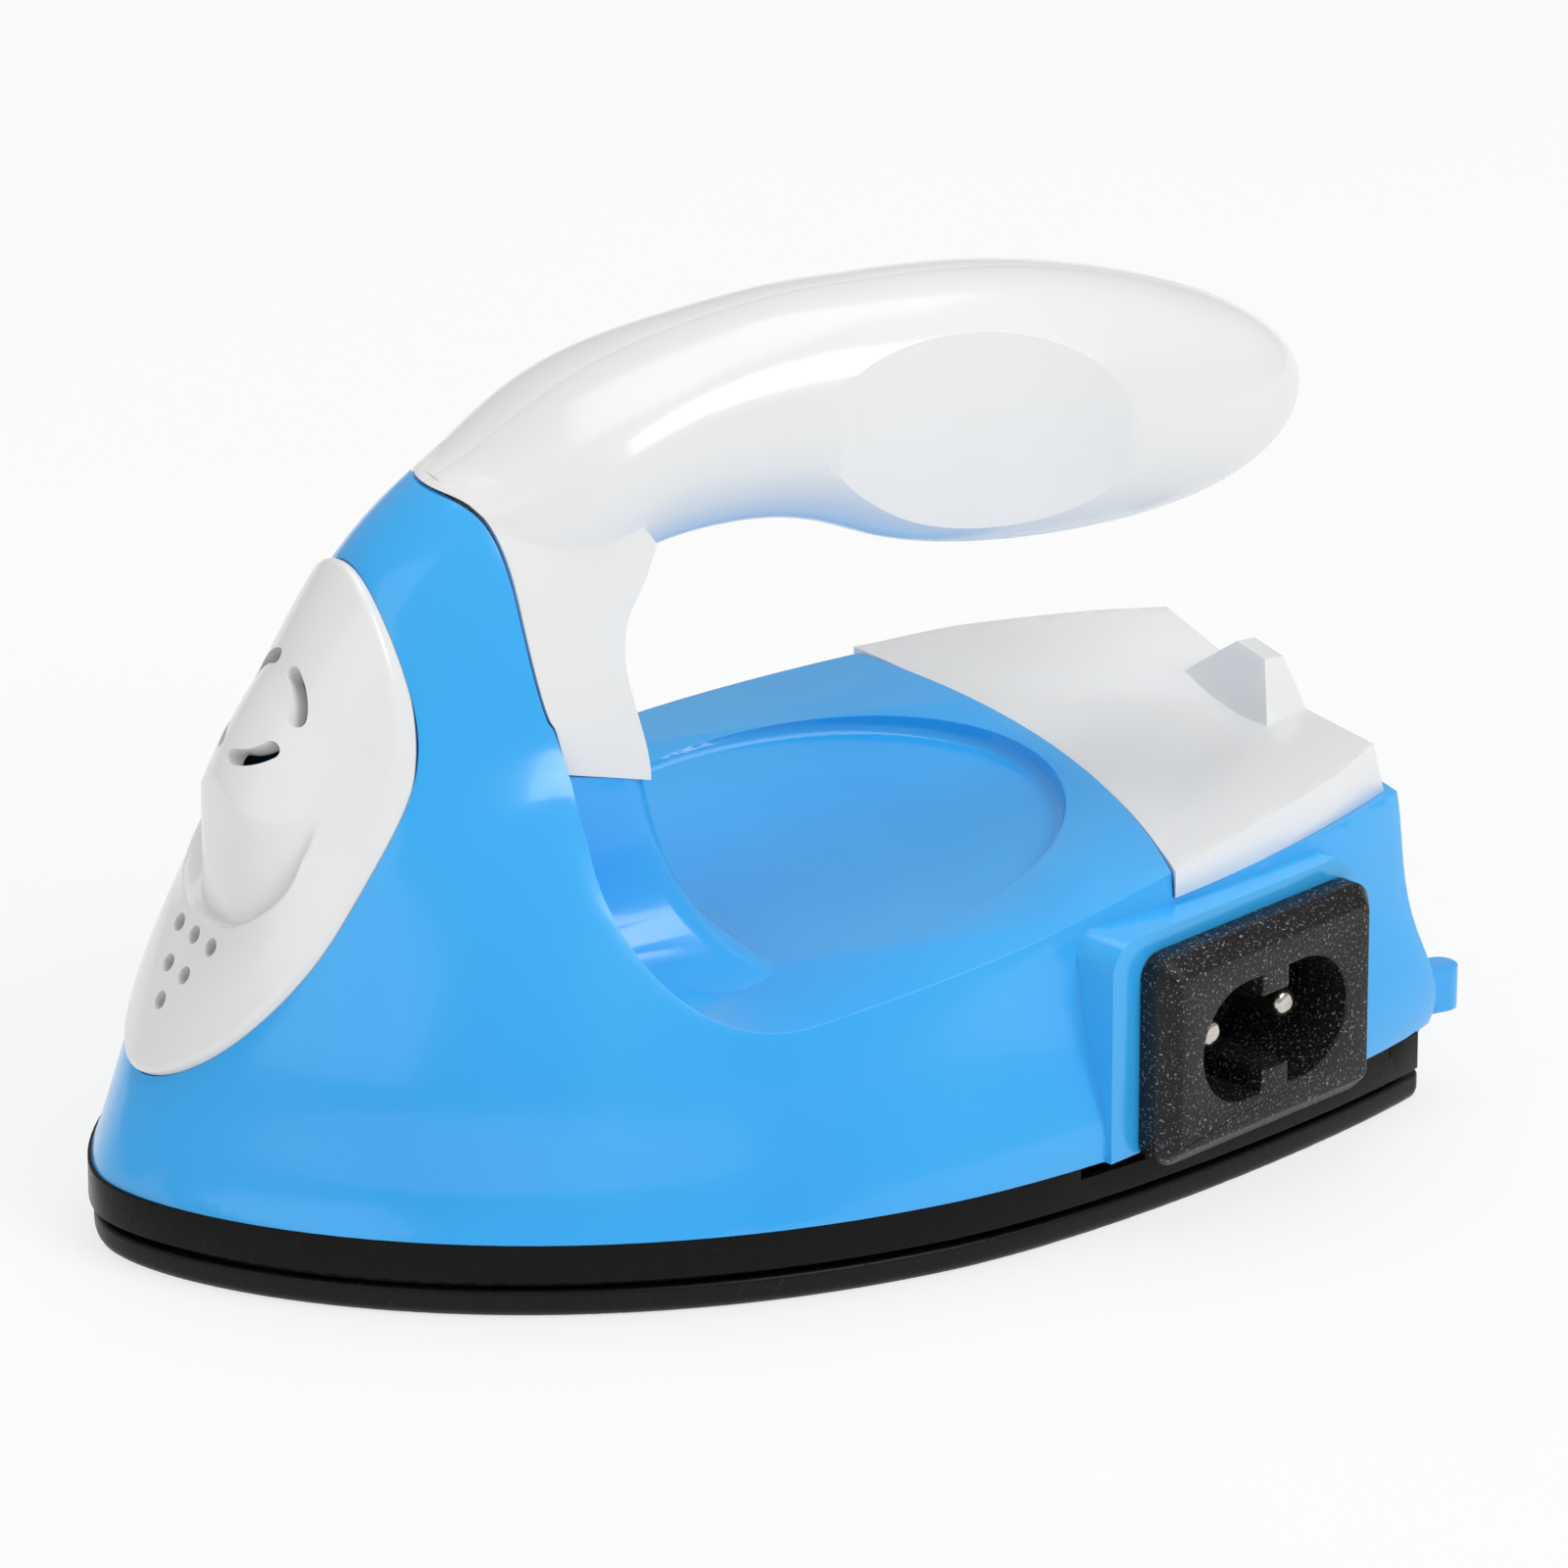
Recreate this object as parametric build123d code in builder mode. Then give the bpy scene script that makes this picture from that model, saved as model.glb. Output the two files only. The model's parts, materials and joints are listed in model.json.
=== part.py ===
from build123d import *

import os
from math import cos, hypot, radians, sin, tan

# Mini handheld heat press: a palm-sized iron with a boat-shaped sole, a drafted shell that rises
# into a front pillar, a two-piece handle, a vent panel, a deck cover and a two-pin mains inlet.
# Origin: centre of the sole's working face. +Z up, nose towards -X, inlet on the -Y side.

os.makedirs("parts", exist_ok=True)

# ---------------------------------------------------------------- driving dimensions (mm)
# sole and heat shield
sole_length = 105.0
sole_half_width = 33.2
sole_widest_x = 3.0
sole_tail_half = 19.7
sole_nose_fullness = 9.2
sole_flank_pull = 36.5
sole_tail_pull = 14.7
sole_tail_reach = 9.35
sole_tail_slope = 0.537
sole_corner_radius = 1.5
sole_thickness = 2.4
sole_edge_radius = 1.1
shield_gap = 0.8
shield_inset = 1.2
shield_thickness = 3.1
shield_overhang = 0.45
shield_tail_setback = 0.9
shell_tail_overhang = 0.6
shield_floor = 1.2
shield_rim = 4.2
shield_lip_height = 1.5
shield_lip_wall = 1.4

# shell
wall = 1.8
fit_gap = 0.25
press_gap = 0.05
deck_pitch = 9.5
deck_height_at_rear = 25.9
deck_rear_x = 22.1
pillar_sweep_radius = 11.3
pillar_rear_x = -19.7
pillar_top_z = 58.3
leg_floor_z = 36.3
leg_floor_slope = -0.194
leg_rear_x = -11.8
leg_wall = 2.0
leg_floor_thickness = 3.0
foot_corner_radius = 2.5

# thumb dish in the deck
dish_radius = 21.0
dish_centre_x = 7.2
dish_start_x = -5.0
dish_start_z = 21.2
dish_floor_pitch = 7.0
dish_edge_radius = 1.0

# handle
handle_wall = 2.2
grip_dish_x = 17.0
grip_dish_depth_y = 7.3
grip_dish_radius = 40.0
handle_boss_radius = 3.2

# front vent panel
panel_thickness = 1.6
panel_proud = 0.8
panel_ledge = 2.0
panel_length = 42.2
panel_half_width = 11.3
panel_widest = 17.5
panel_foot_x = -49.6
panel_foot_z = 14.9
panel_lean = 59.9
dome_length = 28.0
dome_width = 14.6
dome_station = 30.5
dome_rise = 5.1
scoop_x = -42.6
scoop_plan_half = 27.0
scoop_plan_pull = -21.0
scoop_fullness = 9.6
scoop_station = 20.5
scoop_length = 6.5
scoop_half_width = 6.0
scoop_start = -3.5
scoop_draft = 20.0
slot_count = 4
slot_ring_radius = 4.2
slot_width = 1.3
slot_arc = 48.0
slot_phase = 36.0
slot_ring_station = 29.4
vent_hole_radius = 0.75
vent_hole_pitch = 2.85
vent_row_stations = (11.3, 8.3, 5.6)

# rear cover
cover_front_x = 30.1
cover_front_corner_x = 26.1
cover_front_half = 27.0
cover_rear_x = 50.3
cover_rear_half = 16.9
cover_flank_bow = 0.9
cover_seat_z = 24.7
cover_seat_slope = 0.038
cover_wall = 1.5
cover_proud = 0.5
cover_top_slope = 0.07
cover_crease_x = 30.8
cover_crease_half = 19.0
cover_valley_x = 43.9
cover_valley_half = 8.3
cover_rear_rise = 2.4
gable_front_x = 48.5
gable_half = 2.3
gable_top_z = 32.6
cover_ledge = 1.6
cover_skirt_depth = 1.5
cover_skirt_wall = 1.2

# mains inlet
inlet_angle = 18.8
inlet_face_x = 32.9
inlet_face_y = -31.0
inlet_face_z = 14.0
inlet_width = 24.3
inlet_height = 17.4
inlet_corner_radius = 2.0
inlet_flange = 3.2
inlet_bevel = 1.4
inlet_body_width = 20.4
inlet_body_height = 13.6
inlet_body_depth = 10.0
collar_margin_side = 3.0
collar_margin_top = 1.6
collar_margin_rear = 0.4
collar_radius = 2.5
collar_depth = 5.0
socket_width = 16.4
socket_height = 9.8
socket_depth = 11.0
socket_key_width = 3.0
socket_key_height = 1.8
pin_radius = 1.2
pin_spacing = 8.6
pin_length = 8.4
pin_tip_radius = 0.7
pin_shank_radius = 1.6
pin_tail_radius = 0.9
pin_tail_length = 4.0

# heel lugs and hooks on the tail wall
heel_lug_y = 17.6
heel_lug_length = 3.6
heel_lug_root = 0.9
heel_lug_width = 3.0
heel_lug_height = 3.5
heel_lug_z = 6.7
hook_width = 2.2
hook_low_z = 5.0

# leg screws
leg_screw_x = -15.6
leg_screw_y = 6.0
leg_screw_bury = 2.8
handle_screw_seat_y = 6.0

# heater stack
pad_length = 34.0
pad_width = 22.0
pad_height = 0.8
film_wall = 0.3
film_length = 32.0
film_width = 20.0
electrode_thickness = 0.4
electrode_tab_width = 5.0
electrode_tab_length = 4.0
electrode_tab_y = 4.5
chip_thickness = 2.5
chip_length = 13.0
chip_width = 18.0
chip_gap = 2.0
clamp_length = 44.0
clamp_width = 16.0
clamp_thickness = 1.2
clamp_screw_y = 18.0
clamp_boss_radius = 3.0
window_half_length = 25.0
window_half_width = 23.0
fuse_radius = 1.6
fuse_length = 11.0
sleeve_wall = 0.5
sleeve_length = 15.0
lead_radius = 0.9
lamp_lead_radius = 0.6

# lamp behind the panel
lamp_board_x = -29.0
lamp_board_length = 10.0
lamp_board_width = 20.0
lamp_board_thickness = 1.6
lamp_board_z = 12.0
lamp_post_radius = 2.0
lamp_post_y = 7.5
led_radius = 2.5
led_height = 6.0
led_rim = 0.5
resistor_radius = 1.1
resistor_length = 6.0

# fasteners
small_head_radius = 2.0
small_head_height = 1.3
small_shank_radius = 0.9
screw_head_radius = 2.6
screw_head_height = 1.8
screw_shank_radius = 1.4
screw_clearance = 0.1
screw_bury = 4.0
sole_screw_x = 38.0
sole_boss_radius = 3.4
screw_tube_radius = 3.6
screw_seat_z = 14.0

# ---------------------------------------------------------------- derived levels
sole_nose_x = -sole_length / 2
sole_tail_x = sole_length / 2
shield_bottom = sole_thickness + shield_gap
shield_top = shield_bottom + shield_thickness
shield_tail_x = sole_tail_x - shield_tail_setback
shell_tail_x = sole_tail_x + shell_tail_overhang
deck_slope = tan(radians(deck_pitch))
dish_slope = tan(radians(dish_floor_pitch))
reach = 80.0
side_plane = Plane.XZ.offset(-reach)


def deck_z(x):
    """Height of the sloping deck above the sole at a station x."""
    return deck_height_at_rear + (x - deck_rear_x) * deck_slope


def dish_z(x):
    """Height of the thumb dish's floor at a station x."""
    return dish_start_z + (x - dish_start_x) * dish_slope


def leg_floor(x):
    """Height of the sloping seat under the handle's leg."""
    return leg_floor_z + (x - leg_rear_x) * leg_floor_slope


def cover_seat(x):
    """Height of the ledge that carries the rear cover."""
    return cover_seat_z + (x - cover_front_corner_x) * cover_seat_slope


# ---------------------------------------------------------------- outer skin
# Plan levels of the shell, from the heat shield up to the top of the pillar:
# height, nose x, nose fullness, half width, x of the half width, flank pull, tail x, tail half width
skin_levels = [
    (shield_top, -52.6, 9.4, 33.7, 3.0, 36.5, shell_tail_x, 19.8),
    (14.0, -49.7, 9.6, 31.9, 4.0, 36.0, 52.4, 19.1),
    (22.0, -46.5, 9.6, 30.0, 6.0, 36.0, 51.3, 18.1),
    (30.0, -43.6, 9.6, 26.6, 11.0, 32.0, 49.6, 16.6),
    (38.0, -39.9, 9.4, 15.0, 0.0, 24.0, 30.0, 13.0),
    (46.0, -35.9, 8.8, 11.2, -4.0, 19.0, 16.0, 10.5),
    (53.0, -31.2, 7.6, 9.6, -6.0, 14.0, 8.0, 9.0),
    (60.0, -22.8, 5.6, 7.8, -6.0, 9.0, 6.0, 7.0),
]


def skin(inset):
    """The shell's closed form, drawn level by level and taken in by the inset all round."""
    with BuildPart() as form:
        for z, nose, full, half, widest, pull, tail, tail_half in skin_levels:
            level = z - inset * (z == skin_levels[-1][0]) - 0.01 * (inset > 0) * (z == shield_top)
            half_in = half - inset
            nose_in = nose + inset
            tail_in = tail - inset
            tail_half_in = tail_half - inset
            with BuildSketch(Plane.XY.offset(level)):
                with BuildLine():
                    Bezier((nose_in, 0), (nose_in, full * half_in / half), (widest - pull, half_in), (widest, half_in))
                    Bezier(
                        (widest, half_in),
                        (widest + 0.3 * (tail - widest), half_in),
                        (tail_in - 0.19 * (tail - widest), tail_half_in + 0.45 * (half - tail_half)),
                        (tail_in, tail_half_in),
                    )
                    Line((tail_in, tail_half_in), (tail_in, 0))
                    mirror(about=Plane.XZ)
                make_face()
        loft()
    return form.part


def sweep_centre():
    """Centre of the arc that blends the pillar's back into the deck."""
    x = pillar_rear_x + pillar_sweep_radius
    return x, deck_z(x) + pillar_sweep_radius / cos(radians(deck_pitch))


def boundary_line(shift, lift, low_z):
    """Side-view line between the pillar and the handle's leg, from the crest down to a height.

    Used inside a BuildLine; the shift moves it along X and the lift raises its upper end.
    """
    points = [
        (-25.4 + shift, pillar_top_z + lift),
        (-22.1 + shift, 55.4 + lift),
        (-21.1 + shift, 49.2),
        (-19.8 + shift, 41.8),
        (-19.05 + shift, low_z),
    ]
    return Spline(*points, tangents=((1, 0), (0.1, -1)), mode=Mode.PRIVATE)


def side_profile(inset):
    """Side-view silhouette of the shell: pillar, its sweep and the deck, taken in by the inset."""
    cx, cz = sweep_centre()
    radius = pillar_sweep_radius + inset
    pitch = radians(deck_pitch)
    middle = radians(180 + 45 + deck_pitch / 2)
    back = boundary_line(-inset, -inset, leg_floor(pillar_rear_x))
    with BuildPart() as prism:
        with BuildSketch(side_plane):
            with BuildLine():
                Line((-reach, -reach), (-reach, pillar_top_z - inset))
                Line((-reach, pillar_top_z - inset), back @ 0)
                add(back)
                Line(back @ 1, (cx - radius, cz))
                ThreePointArc(
                    (cx - radius, cz),
                    (cx + radius * cos(middle), cz + radius * sin(middle)),
                    (cx + radius * sin(pitch), cz - radius * cos(pitch)),
                )
                Line(
                    (cx + radius * sin(pitch), cz - radius * cos(pitch)),
                    (reach, deck_z(reach) - inset / cos(pitch)),
                )
                Line((reach, deck_z(reach) - inset / cos(pitch)), (reach, -reach))
                Line((reach, -reach), (-reach, -reach))
            make_face()
        extrude(amount=2 * reach)
    return prism.part


# Rear edge and half width of the foot under the handle's leg, by height
foot_levels = [(17.0, -1.0, 22.5), (21.0, -3.0, 20.0), (24.0, -7.0, 16.6), (28.0, -9.6, 14.2),
               (32.0, -10.8, 13.1), (38.5, leg_rear_x + 0.2, 12.2)]


def foot(inset):
    """The flared block behind the pillar that carries the handle's leg."""
    front = pillar_rear_x - 6
    with BuildPart() as block:
        for z, rear, half in foot_levels:
            with BuildSketch(Plane.XY.offset(z)):
                with Locations(((front + rear - inset) / 2, 0)):
                    RectangleRounded(rear - inset - front, 2 * (half - inset), foot_corner_radius)
        loft()
        with BuildSketch(side_plane):
            with BuildLine():
                ceiling = -leg_floor_thickness * (inset > 0)
                Polyline(
                    (-reach, leg_floor(-reach) + ceiling), (reach, leg_floor(reach) + ceiling), (reach, reach), (-reach, reach), close=True
                )
            make_face()
        extrude(amount=2 * reach, mode=Mode.SUBTRACT)
    return block.part


outer_skin = skin(0)
inner_skin = skin(wall)

# ---------------------------------------------------------------- panel frame and outline
panel_axis = (cos(radians(panel_lean)), sin(radians(panel_lean)))
panel_plane = Plane(
    origin=(panel_foot_x, 0, panel_foot_z),
    x_dir=(panel_axis[0], 0, panel_axis[1]),
    z_dir=(-panel_axis[1], 0, panel_axis[0]),
)


def panel_prism(grow, depth, height):
    """The panel's egg outline, grown by a margin and run from below its plane to above it."""
    half = panel_half_width + grow
    with BuildPart() as prism:
        with BuildSketch(panel_plane.offset(-depth)):
            with BuildLine():
                Bezier((-grow, 0), (-grow, 5.2), (8, half), (panel_widest, half))
                Bezier((panel_widest, half), (29, half), (panel_length + grow, 8.5), (panel_length + grow, 0))
                mirror(about=Plane.XZ)
            make_face()
        extrude(amount=depth + height)
    return prism.part


# ---------------------------------------------------------------- mains inlet frame
inlet_across = (cos(radians(inlet_angle)), sin(radians(inlet_angle)), 0)
inlet_outward = (sin(radians(inlet_angle)), -cos(radians(inlet_angle)), 0)
inlet_plane = Plane(
    origin=(inlet_face_x, inlet_face_y, inlet_face_z), x_dir=inlet_across, z_dir=inlet_outward
)
collar_plane = inlet_plane.offset(-inlet_flange)


# ---------------------------------------------------------------- soleplate
def sole_outline(grow):
    """Boat-shaped plan of the sole, grown by a margin."""
    nose = sole_nose_x - grow
    half = sole_half_width + grow
    tail = sole_tail_x + grow
    tail_half = sole_tail_half + grow
    with BuildSketch() as plan:
        with BuildLine():
            Bezier((nose, 0), (nose, sole_nose_fullness), (sole_widest_x - sole_flank_pull, half), (sole_widest_x, half))
            Bezier(
                (sole_widest_x, half),
                (sole_widest_x + sole_tail_pull, half),
                (tail - sole_tail_reach, tail_half + sole_tail_reach * sole_tail_slope),
                (tail, tail_half),
            )
            Line((tail, tail_half), (tail, 0))
            mirror(about=Plane.XZ)
        make_face()
        fillet(plan.vertices().group_by(Axis.X)[-1], sole_corner_radius)
    return plan.sketch


chip_step = chip_length + chip_gap
pad_top = shield_bottom + pad_height
electrode_lower_z = pad_top + film_wall
chip_z = electrode_lower_z + electrode_thickness
electrode_upper_z = chip_z + chip_thickness
film_top = electrode_upper_z + electrode_thickness + film_wall
clamp_top = film_top + clamp_thickness
clamp_places = [(0, clamp_screw_y), (0, -clamp_screw_y)]
sole_screw_places = [(-sole_screw_x, 0), (sole_screw_x, 0)]
shield_screw_places = [(-31, 14), (-31, -14), (31, 13), (31, -9)]

with BuildPart() as soleplate:
    with BuildSketch():
        add(sole_outline(0))
    extrude(amount=sole_thickness)
    fillet(soleplate.faces().sort_by(Axis.Z)[0].edges(), sole_edge_radius)
    fillet(soleplate.faces().sort_by(Axis.Z)[-1].edges(), shield_gap / 2)
    with BuildSketch(Plane.XY.offset(sole_thickness)):
        add(sole_outline(-shield_inset))
    extrude(amount=shield_gap)
    with BuildSketch(Plane.XY.offset(shield_bottom)):
        RectangleRounded(pad_length, pad_width, 2)
    extrude(amount=pad_height)
    with BuildSketch(Plane.XY.offset(shield_bottom)):
        with Locations(*clamp_places):
            Circle(clamp_boss_radius)
    extrude(amount=film_top - shield_bottom)
    with BuildSketch(Plane.XY.offset(shield_bottom)):
        with Locations(*sole_screw_places):
            Circle(sole_boss_radius)
    extrude(amount=shield_floor + 1)
    with Locations(*[(x, y, film_top) for x, y in clamp_places]):
        Hole(small_shank_radius + screw_clearance, depth=screw_bury + screw_clearance)
    with Locations(*[(x, y, shield_bottom + shield_floor + 1) for x, y in sole_screw_places]):
        Hole(screw_shank_radius + screw_clearance, depth=screw_bury + screw_clearance)
    with Locations(*[(x, y, shield_bottom) for x, y in shield_screw_places]):
        Hole(small_shank_radius + screw_clearance, depth=sole_thickness)

soleplate.part.label = "soleplate"
export_step(soleplate.part, "parts/soleplate.step")

# ---------------------------------------------------------------- heat shield
with BuildPart() as shield_lip:
    add(skin(wall + fit_gap))
    add(skin(wall + fit_gap + shield_lip_wall), mode=Mode.SUBTRACT)
    with BuildSketch(Plane.XY.offset(shield_top)):
        Rectangle(2 * reach, 2 * reach)
    extrude(amount=shield_lip_height, mode=Mode.INTERSECT)

lamp_post_places = [(lamp_board_x, lamp_post_y), (lamp_board_x, -lamp_post_y)]

with BuildPart() as heat_shield:
    with BuildSketch(Plane.XY.offset(shield_bottom)):
        add(sole_outline(shield_overhang))
    extrude(amount=shield_thickness)
    with BuildSketch(Plane.XY.offset(shield_bottom + shield_floor)):
        add(sole_outline(-shield_rim))
        with Locations((shield_tail_x - shield_rim + reach / 2, 0)):
            Rectangle(reach, 2 * reach, mode=Mode.SUBTRACT)
    extrude(amount=shield_thickness, mode=Mode.SUBTRACT)
    with BuildSketch(Plane.XY.offset(shield_bottom)):
        with Locations((shield_tail_x + reach / 2, 0)):
            Rectangle(reach, 2 * reach)
        Rectangle(2 * window_half_length, 2 * window_half_width)
        with Locations(*sole_screw_places):
            Circle(sole_boss_radius + fit_gap)
    extrude(amount=shield_thickness, mode=Mode.SUBTRACT)
    add(shield_lip.part)
    with BuildSketch(Plane.XY.offset(shield_bottom + shield_floor)):
        with Locations(*lamp_post_places):
            Circle(lamp_post_radius)
    extrude(amount=lamp_board_z - shield_bottom - shield_floor)
    with Locations(*[(x, y, lamp_board_z) for x, y in lamp_post_places]):
        Hole(small_shank_radius + screw_clearance, depth=screw_bury + screw_clearance)
    with Locations(*[(x, y, shield_bottom + shield_floor) for x, y in shield_screw_places]):
        Hole(small_shank_radius + screw_clearance, depth=shield_floor)
    with BuildSketch(collar_plane):
        Rectangle(inlet_width + 2 * fit_gap, inlet_height + 2 * fit_gap)
    extrude(amount=inlet_flange + reach, mode=Mode.SUBTRACT)
    with BuildSketch(collar_plane):
        Rectangle(inlet_width + 2 * (collar_margin_side + wall + fit_gap), inlet_height)
    extrude(amount=-inlet_body_depth, mode=Mode.SUBTRACT)

heat_shield.part.label = "heat_shield"
export_step(heat_shield.part, "parts/heat_shield.step")


# ---------------------------------------------------------------- rear cover forms
def cover_outline(inset):
    """Plan of the rear cover, taken in by an inset."""
    front_x = cover_front_corner_x + inset
    front_half = cover_front_half - inset
    rear_x = cover_rear_x - inset
    rear_half = cover_rear_half - inset
    bow_x = (front_x + rear_x) / 2
    bow_y = (front_half + rear_half) / 2 + cover_flank_bow
    with BuildSketch() as plan:
        with BuildLine():
            ThreePointArc((front_x, -front_half), (cover_front_x + inset, 0), (front_x, front_half))
            ThreePointArc((front_x, front_half), (bow_x, bow_y), (rear_x, rear_half))
            Line((rear_x, rear_half), (rear_x, -rear_half))
            ThreePointArc((rear_x, -rear_half), (bow_x, -bow_y), (front_x, -front_half))
        make_face()
    return plan.sketch


def plane_through(a, b, c):
    """Plane through three points, facing up."""
    normal = (Vector(*b) - Vector(*a)).cross(Vector(*c) - Vector(*a))
    if normal.Z < 0:
        normal = -normal
    return Plane(origin=a, z_dir=normal)


def cover_form(inset, drop):
    """The cover's faceted solid: a middle facet, two rising flanks and a small rear gable."""
    crease_z = deck_z(cover_crease_x) + cover_proud - drop
    valley_z = crease_z + cover_top_slope * (cover_valley_x - cover_crease_x)
    rear_z = crease_z + cover_rear_rise
    roofs = [Plane(origin=(cover_crease_x, 0, crease_z), z_dir=(-cover_top_slope, 0, 1))]
    for side in (1, -1):
        roofs.append(
            plane_through(
                (cover_crease_x, side * cover_crease_half, crease_z),
                (cover_valley_x, side * cover_valley_half, valley_z),
                (cover_rear_x, side * cover_rear_half, rear_z),
            )
        )
    wedges = []
    for roof in roofs:
        with BuildPart() as wedge:
            with BuildSketch(Plane.XY.offset(cover_seat_z - cover_wall)):
                add(cover_outline(inset))
            extrude(amount=gable_top_z)
            split(bisect_by=roof, keep=Keep.BOTTOM)
        wedges.append(wedge.part)
    with BuildPart() as gable:
        with BuildSketch(Plane.XY.offset(crease_z - 1)):
            with Locations(((cover_valley_x + cover_rear_x) / 2, 0)):
                Rectangle(cover_rear_x - cover_valley_x - 2 * inset, 2 * (cover_valley_half + 1 - inset))
        with BuildSketch(Plane.XY.offset(gable_top_z - drop)):
            with Locations(((gable_front_x + cover_rear_x) / 2 - inset / 2, 0)):
                Rectangle(cover_rear_x - gable_front_x, 2 * gable_half)
        loft(ruled=True)
    with BuildPart() as form:
        for wedge in wedges:
            add(wedge)
        add(gable.part)
    return form.part


def above_seat(gap):
    """Everything above the cover's sloping seat, raised by a gap."""
    with BuildPart() as region:
        with BuildSketch(side_plane):
            with BuildLine():
                Polyline(
                    (0, cover_seat(0) + gap), (reach, cover_seat(reach) + gap), (reach, reach), (0, reach), close=True
                )
            make_face()
        extrude(amount=2 * reach)
    return region.part


# ---------------------------------------------------------------- housing
with BuildPart() as foot_outside:
    add(foot(0))
    add(outer_skin, mode=Mode.INTERSECT)

with BuildPart() as foot_inside:
    add(foot(wall))
    add(inner_skin, mode=Mode.INTERSECT)

with BuildPart() as roof_clip:
    with BuildSketch(side_plane):
        with BuildLine():
            roof_front = dish_start_x - 3
            roof_rear = dish_centre_x + dish_radius
            roof_low = cover_seat_z - wall
            Polyline(
                (roof_front, dish_z(roof_front) - wall),
                (roof_rear, dish_z(roof_rear) - wall),
                (roof_rear, roof_low),
                (reach, roof_low),
                (reach, reach),
                (roof_front, reach),
                close=True,
            )
        make_face()
    extrude(amount=2 * reach)

with BuildPart() as cavity:
    add(inner_skin)
    add(side_profile(wall), mode=Mode.INTERSECT)
    add(roof_clip.part, mode=Mode.SUBTRACT)
    add(foot_inside.part)

with BuildPart() as collar:
    with BuildSketch(collar_plane):
        with Locations(((collar_margin_rear - collar_margin_side) / 2, (collar_margin_top - inlet_height) / 2)):
            RectangleRounded(
                inlet_width + collar_margin_side + collar_margin_rear,
                inlet_height + collar_margin_top + inlet_height,
                collar_radius,
            )
    extrude(amount=-collar_depth)
    with BuildSketch():
        Rectangle(3 * reach, 3 * reach)
    extrude(amount=shield_top, mode=Mode.SUBTRACT)
    with BuildSketch(Plane.XY):
        Rectangle(3 * reach, 3 * reach)
    extrude(amount=-reach, mode=Mode.SUBTRACT)

with BuildPart() as collar_back:
    with BuildSketch(collar_plane.offset(-wall)):
        Rectangle(inlet_width + 2 * (collar_margin_side + wall), 4 * inlet_height)
    extrude(amount=2 * wall + inlet_flange)

with BuildPart() as room:
    add(cavity.part)
    add(collar_back.part, mode=Mode.SUBTRACT)

with BuildPart() as dish_tool:
    with BuildSketch():
        with Locations((dish_centre_x, 0)):
            Circle(dish_radius)
    extrude(amount=reach)
    split(
        bisect_by=Plane(origin=(dish_start_x, 0, dish_start_z), z_dir=(-dish_slope, 0, 1)),
        keep=Keep.TOP,
    )
    fillet(dish_tool.edges().group_by(Axis.Z)[0], dish_edge_radius)
    with BuildSketch(side_plane):
        with BuildLine():
            Polyline((-reach, 0), (dish_start_x, 0), (dish_start_x, reach), (-reach, reach), close=True)
        make_face()
    extrude(amount=2 * reach, mode=Mode.SUBTRACT)

with BuildPart() as cover_pocket:
    with BuildSketch(Plane.XY.offset(cover_seat_z - cover_wall)):
        add(cover_outline(-fit_gap))
        with Locations((cover_rear_x + reach / 2, 0)):
            Rectangle(reach, 2 * reach)
    extrude(amount=reach)
    add(above_seat(0), mode=Mode.INTERSECT)

with BuildPart() as cover_opening:
    with BuildSketch(Plane.XY.offset(cover_seat_z - 3 * wall)):
        add(cover_outline(cover_wall + cover_ledge))
    extrude(amount=reach)


def facet_prism(inset):
    """Upright body with the nose's plan; its front is the panel's upright facet."""
    with BuildPart() as prism:
        with BuildSketch():
            with BuildLine():
                nose = scoop_x + inset
                half = scoop_plan_half - inset
                Bezier((nose, 0), (nose, scoop_fullness), (scoop_plan_pull, half), (0, half))
                Line((0, half), (0, 0))
                mirror(about=Plane.XZ)
            make_face()
        extrude(amount=reach)
    return prism.part


def scoop_tool(grow):
    """Cutter of the U-shaped recess under the dome, grown by a margin."""
    half = scoop_half_width + grow
    with BuildPart() as cutter:
        with BuildSketch(panel_plane.offset(scoop_start)):
            with Locations((scoop_station, 0)):
                Circle(half)
            with Locations((scoop_station + scoop_length / 2, 0)):
                Rectangle(scoop_length, 2 * half)
        extrude(amount=3 * dome_rise, taper=-scoop_draft)
        add(facet_prism(grow), mode=Mode.SUBTRACT)
    return cutter.part


with BuildPart() as panel_seat_tool:
    add(panel_prism(fit_gap / 2, 8, 14))
    add(skin(panel_thickness - panel_proud), mode=Mode.SUBTRACT)

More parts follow.
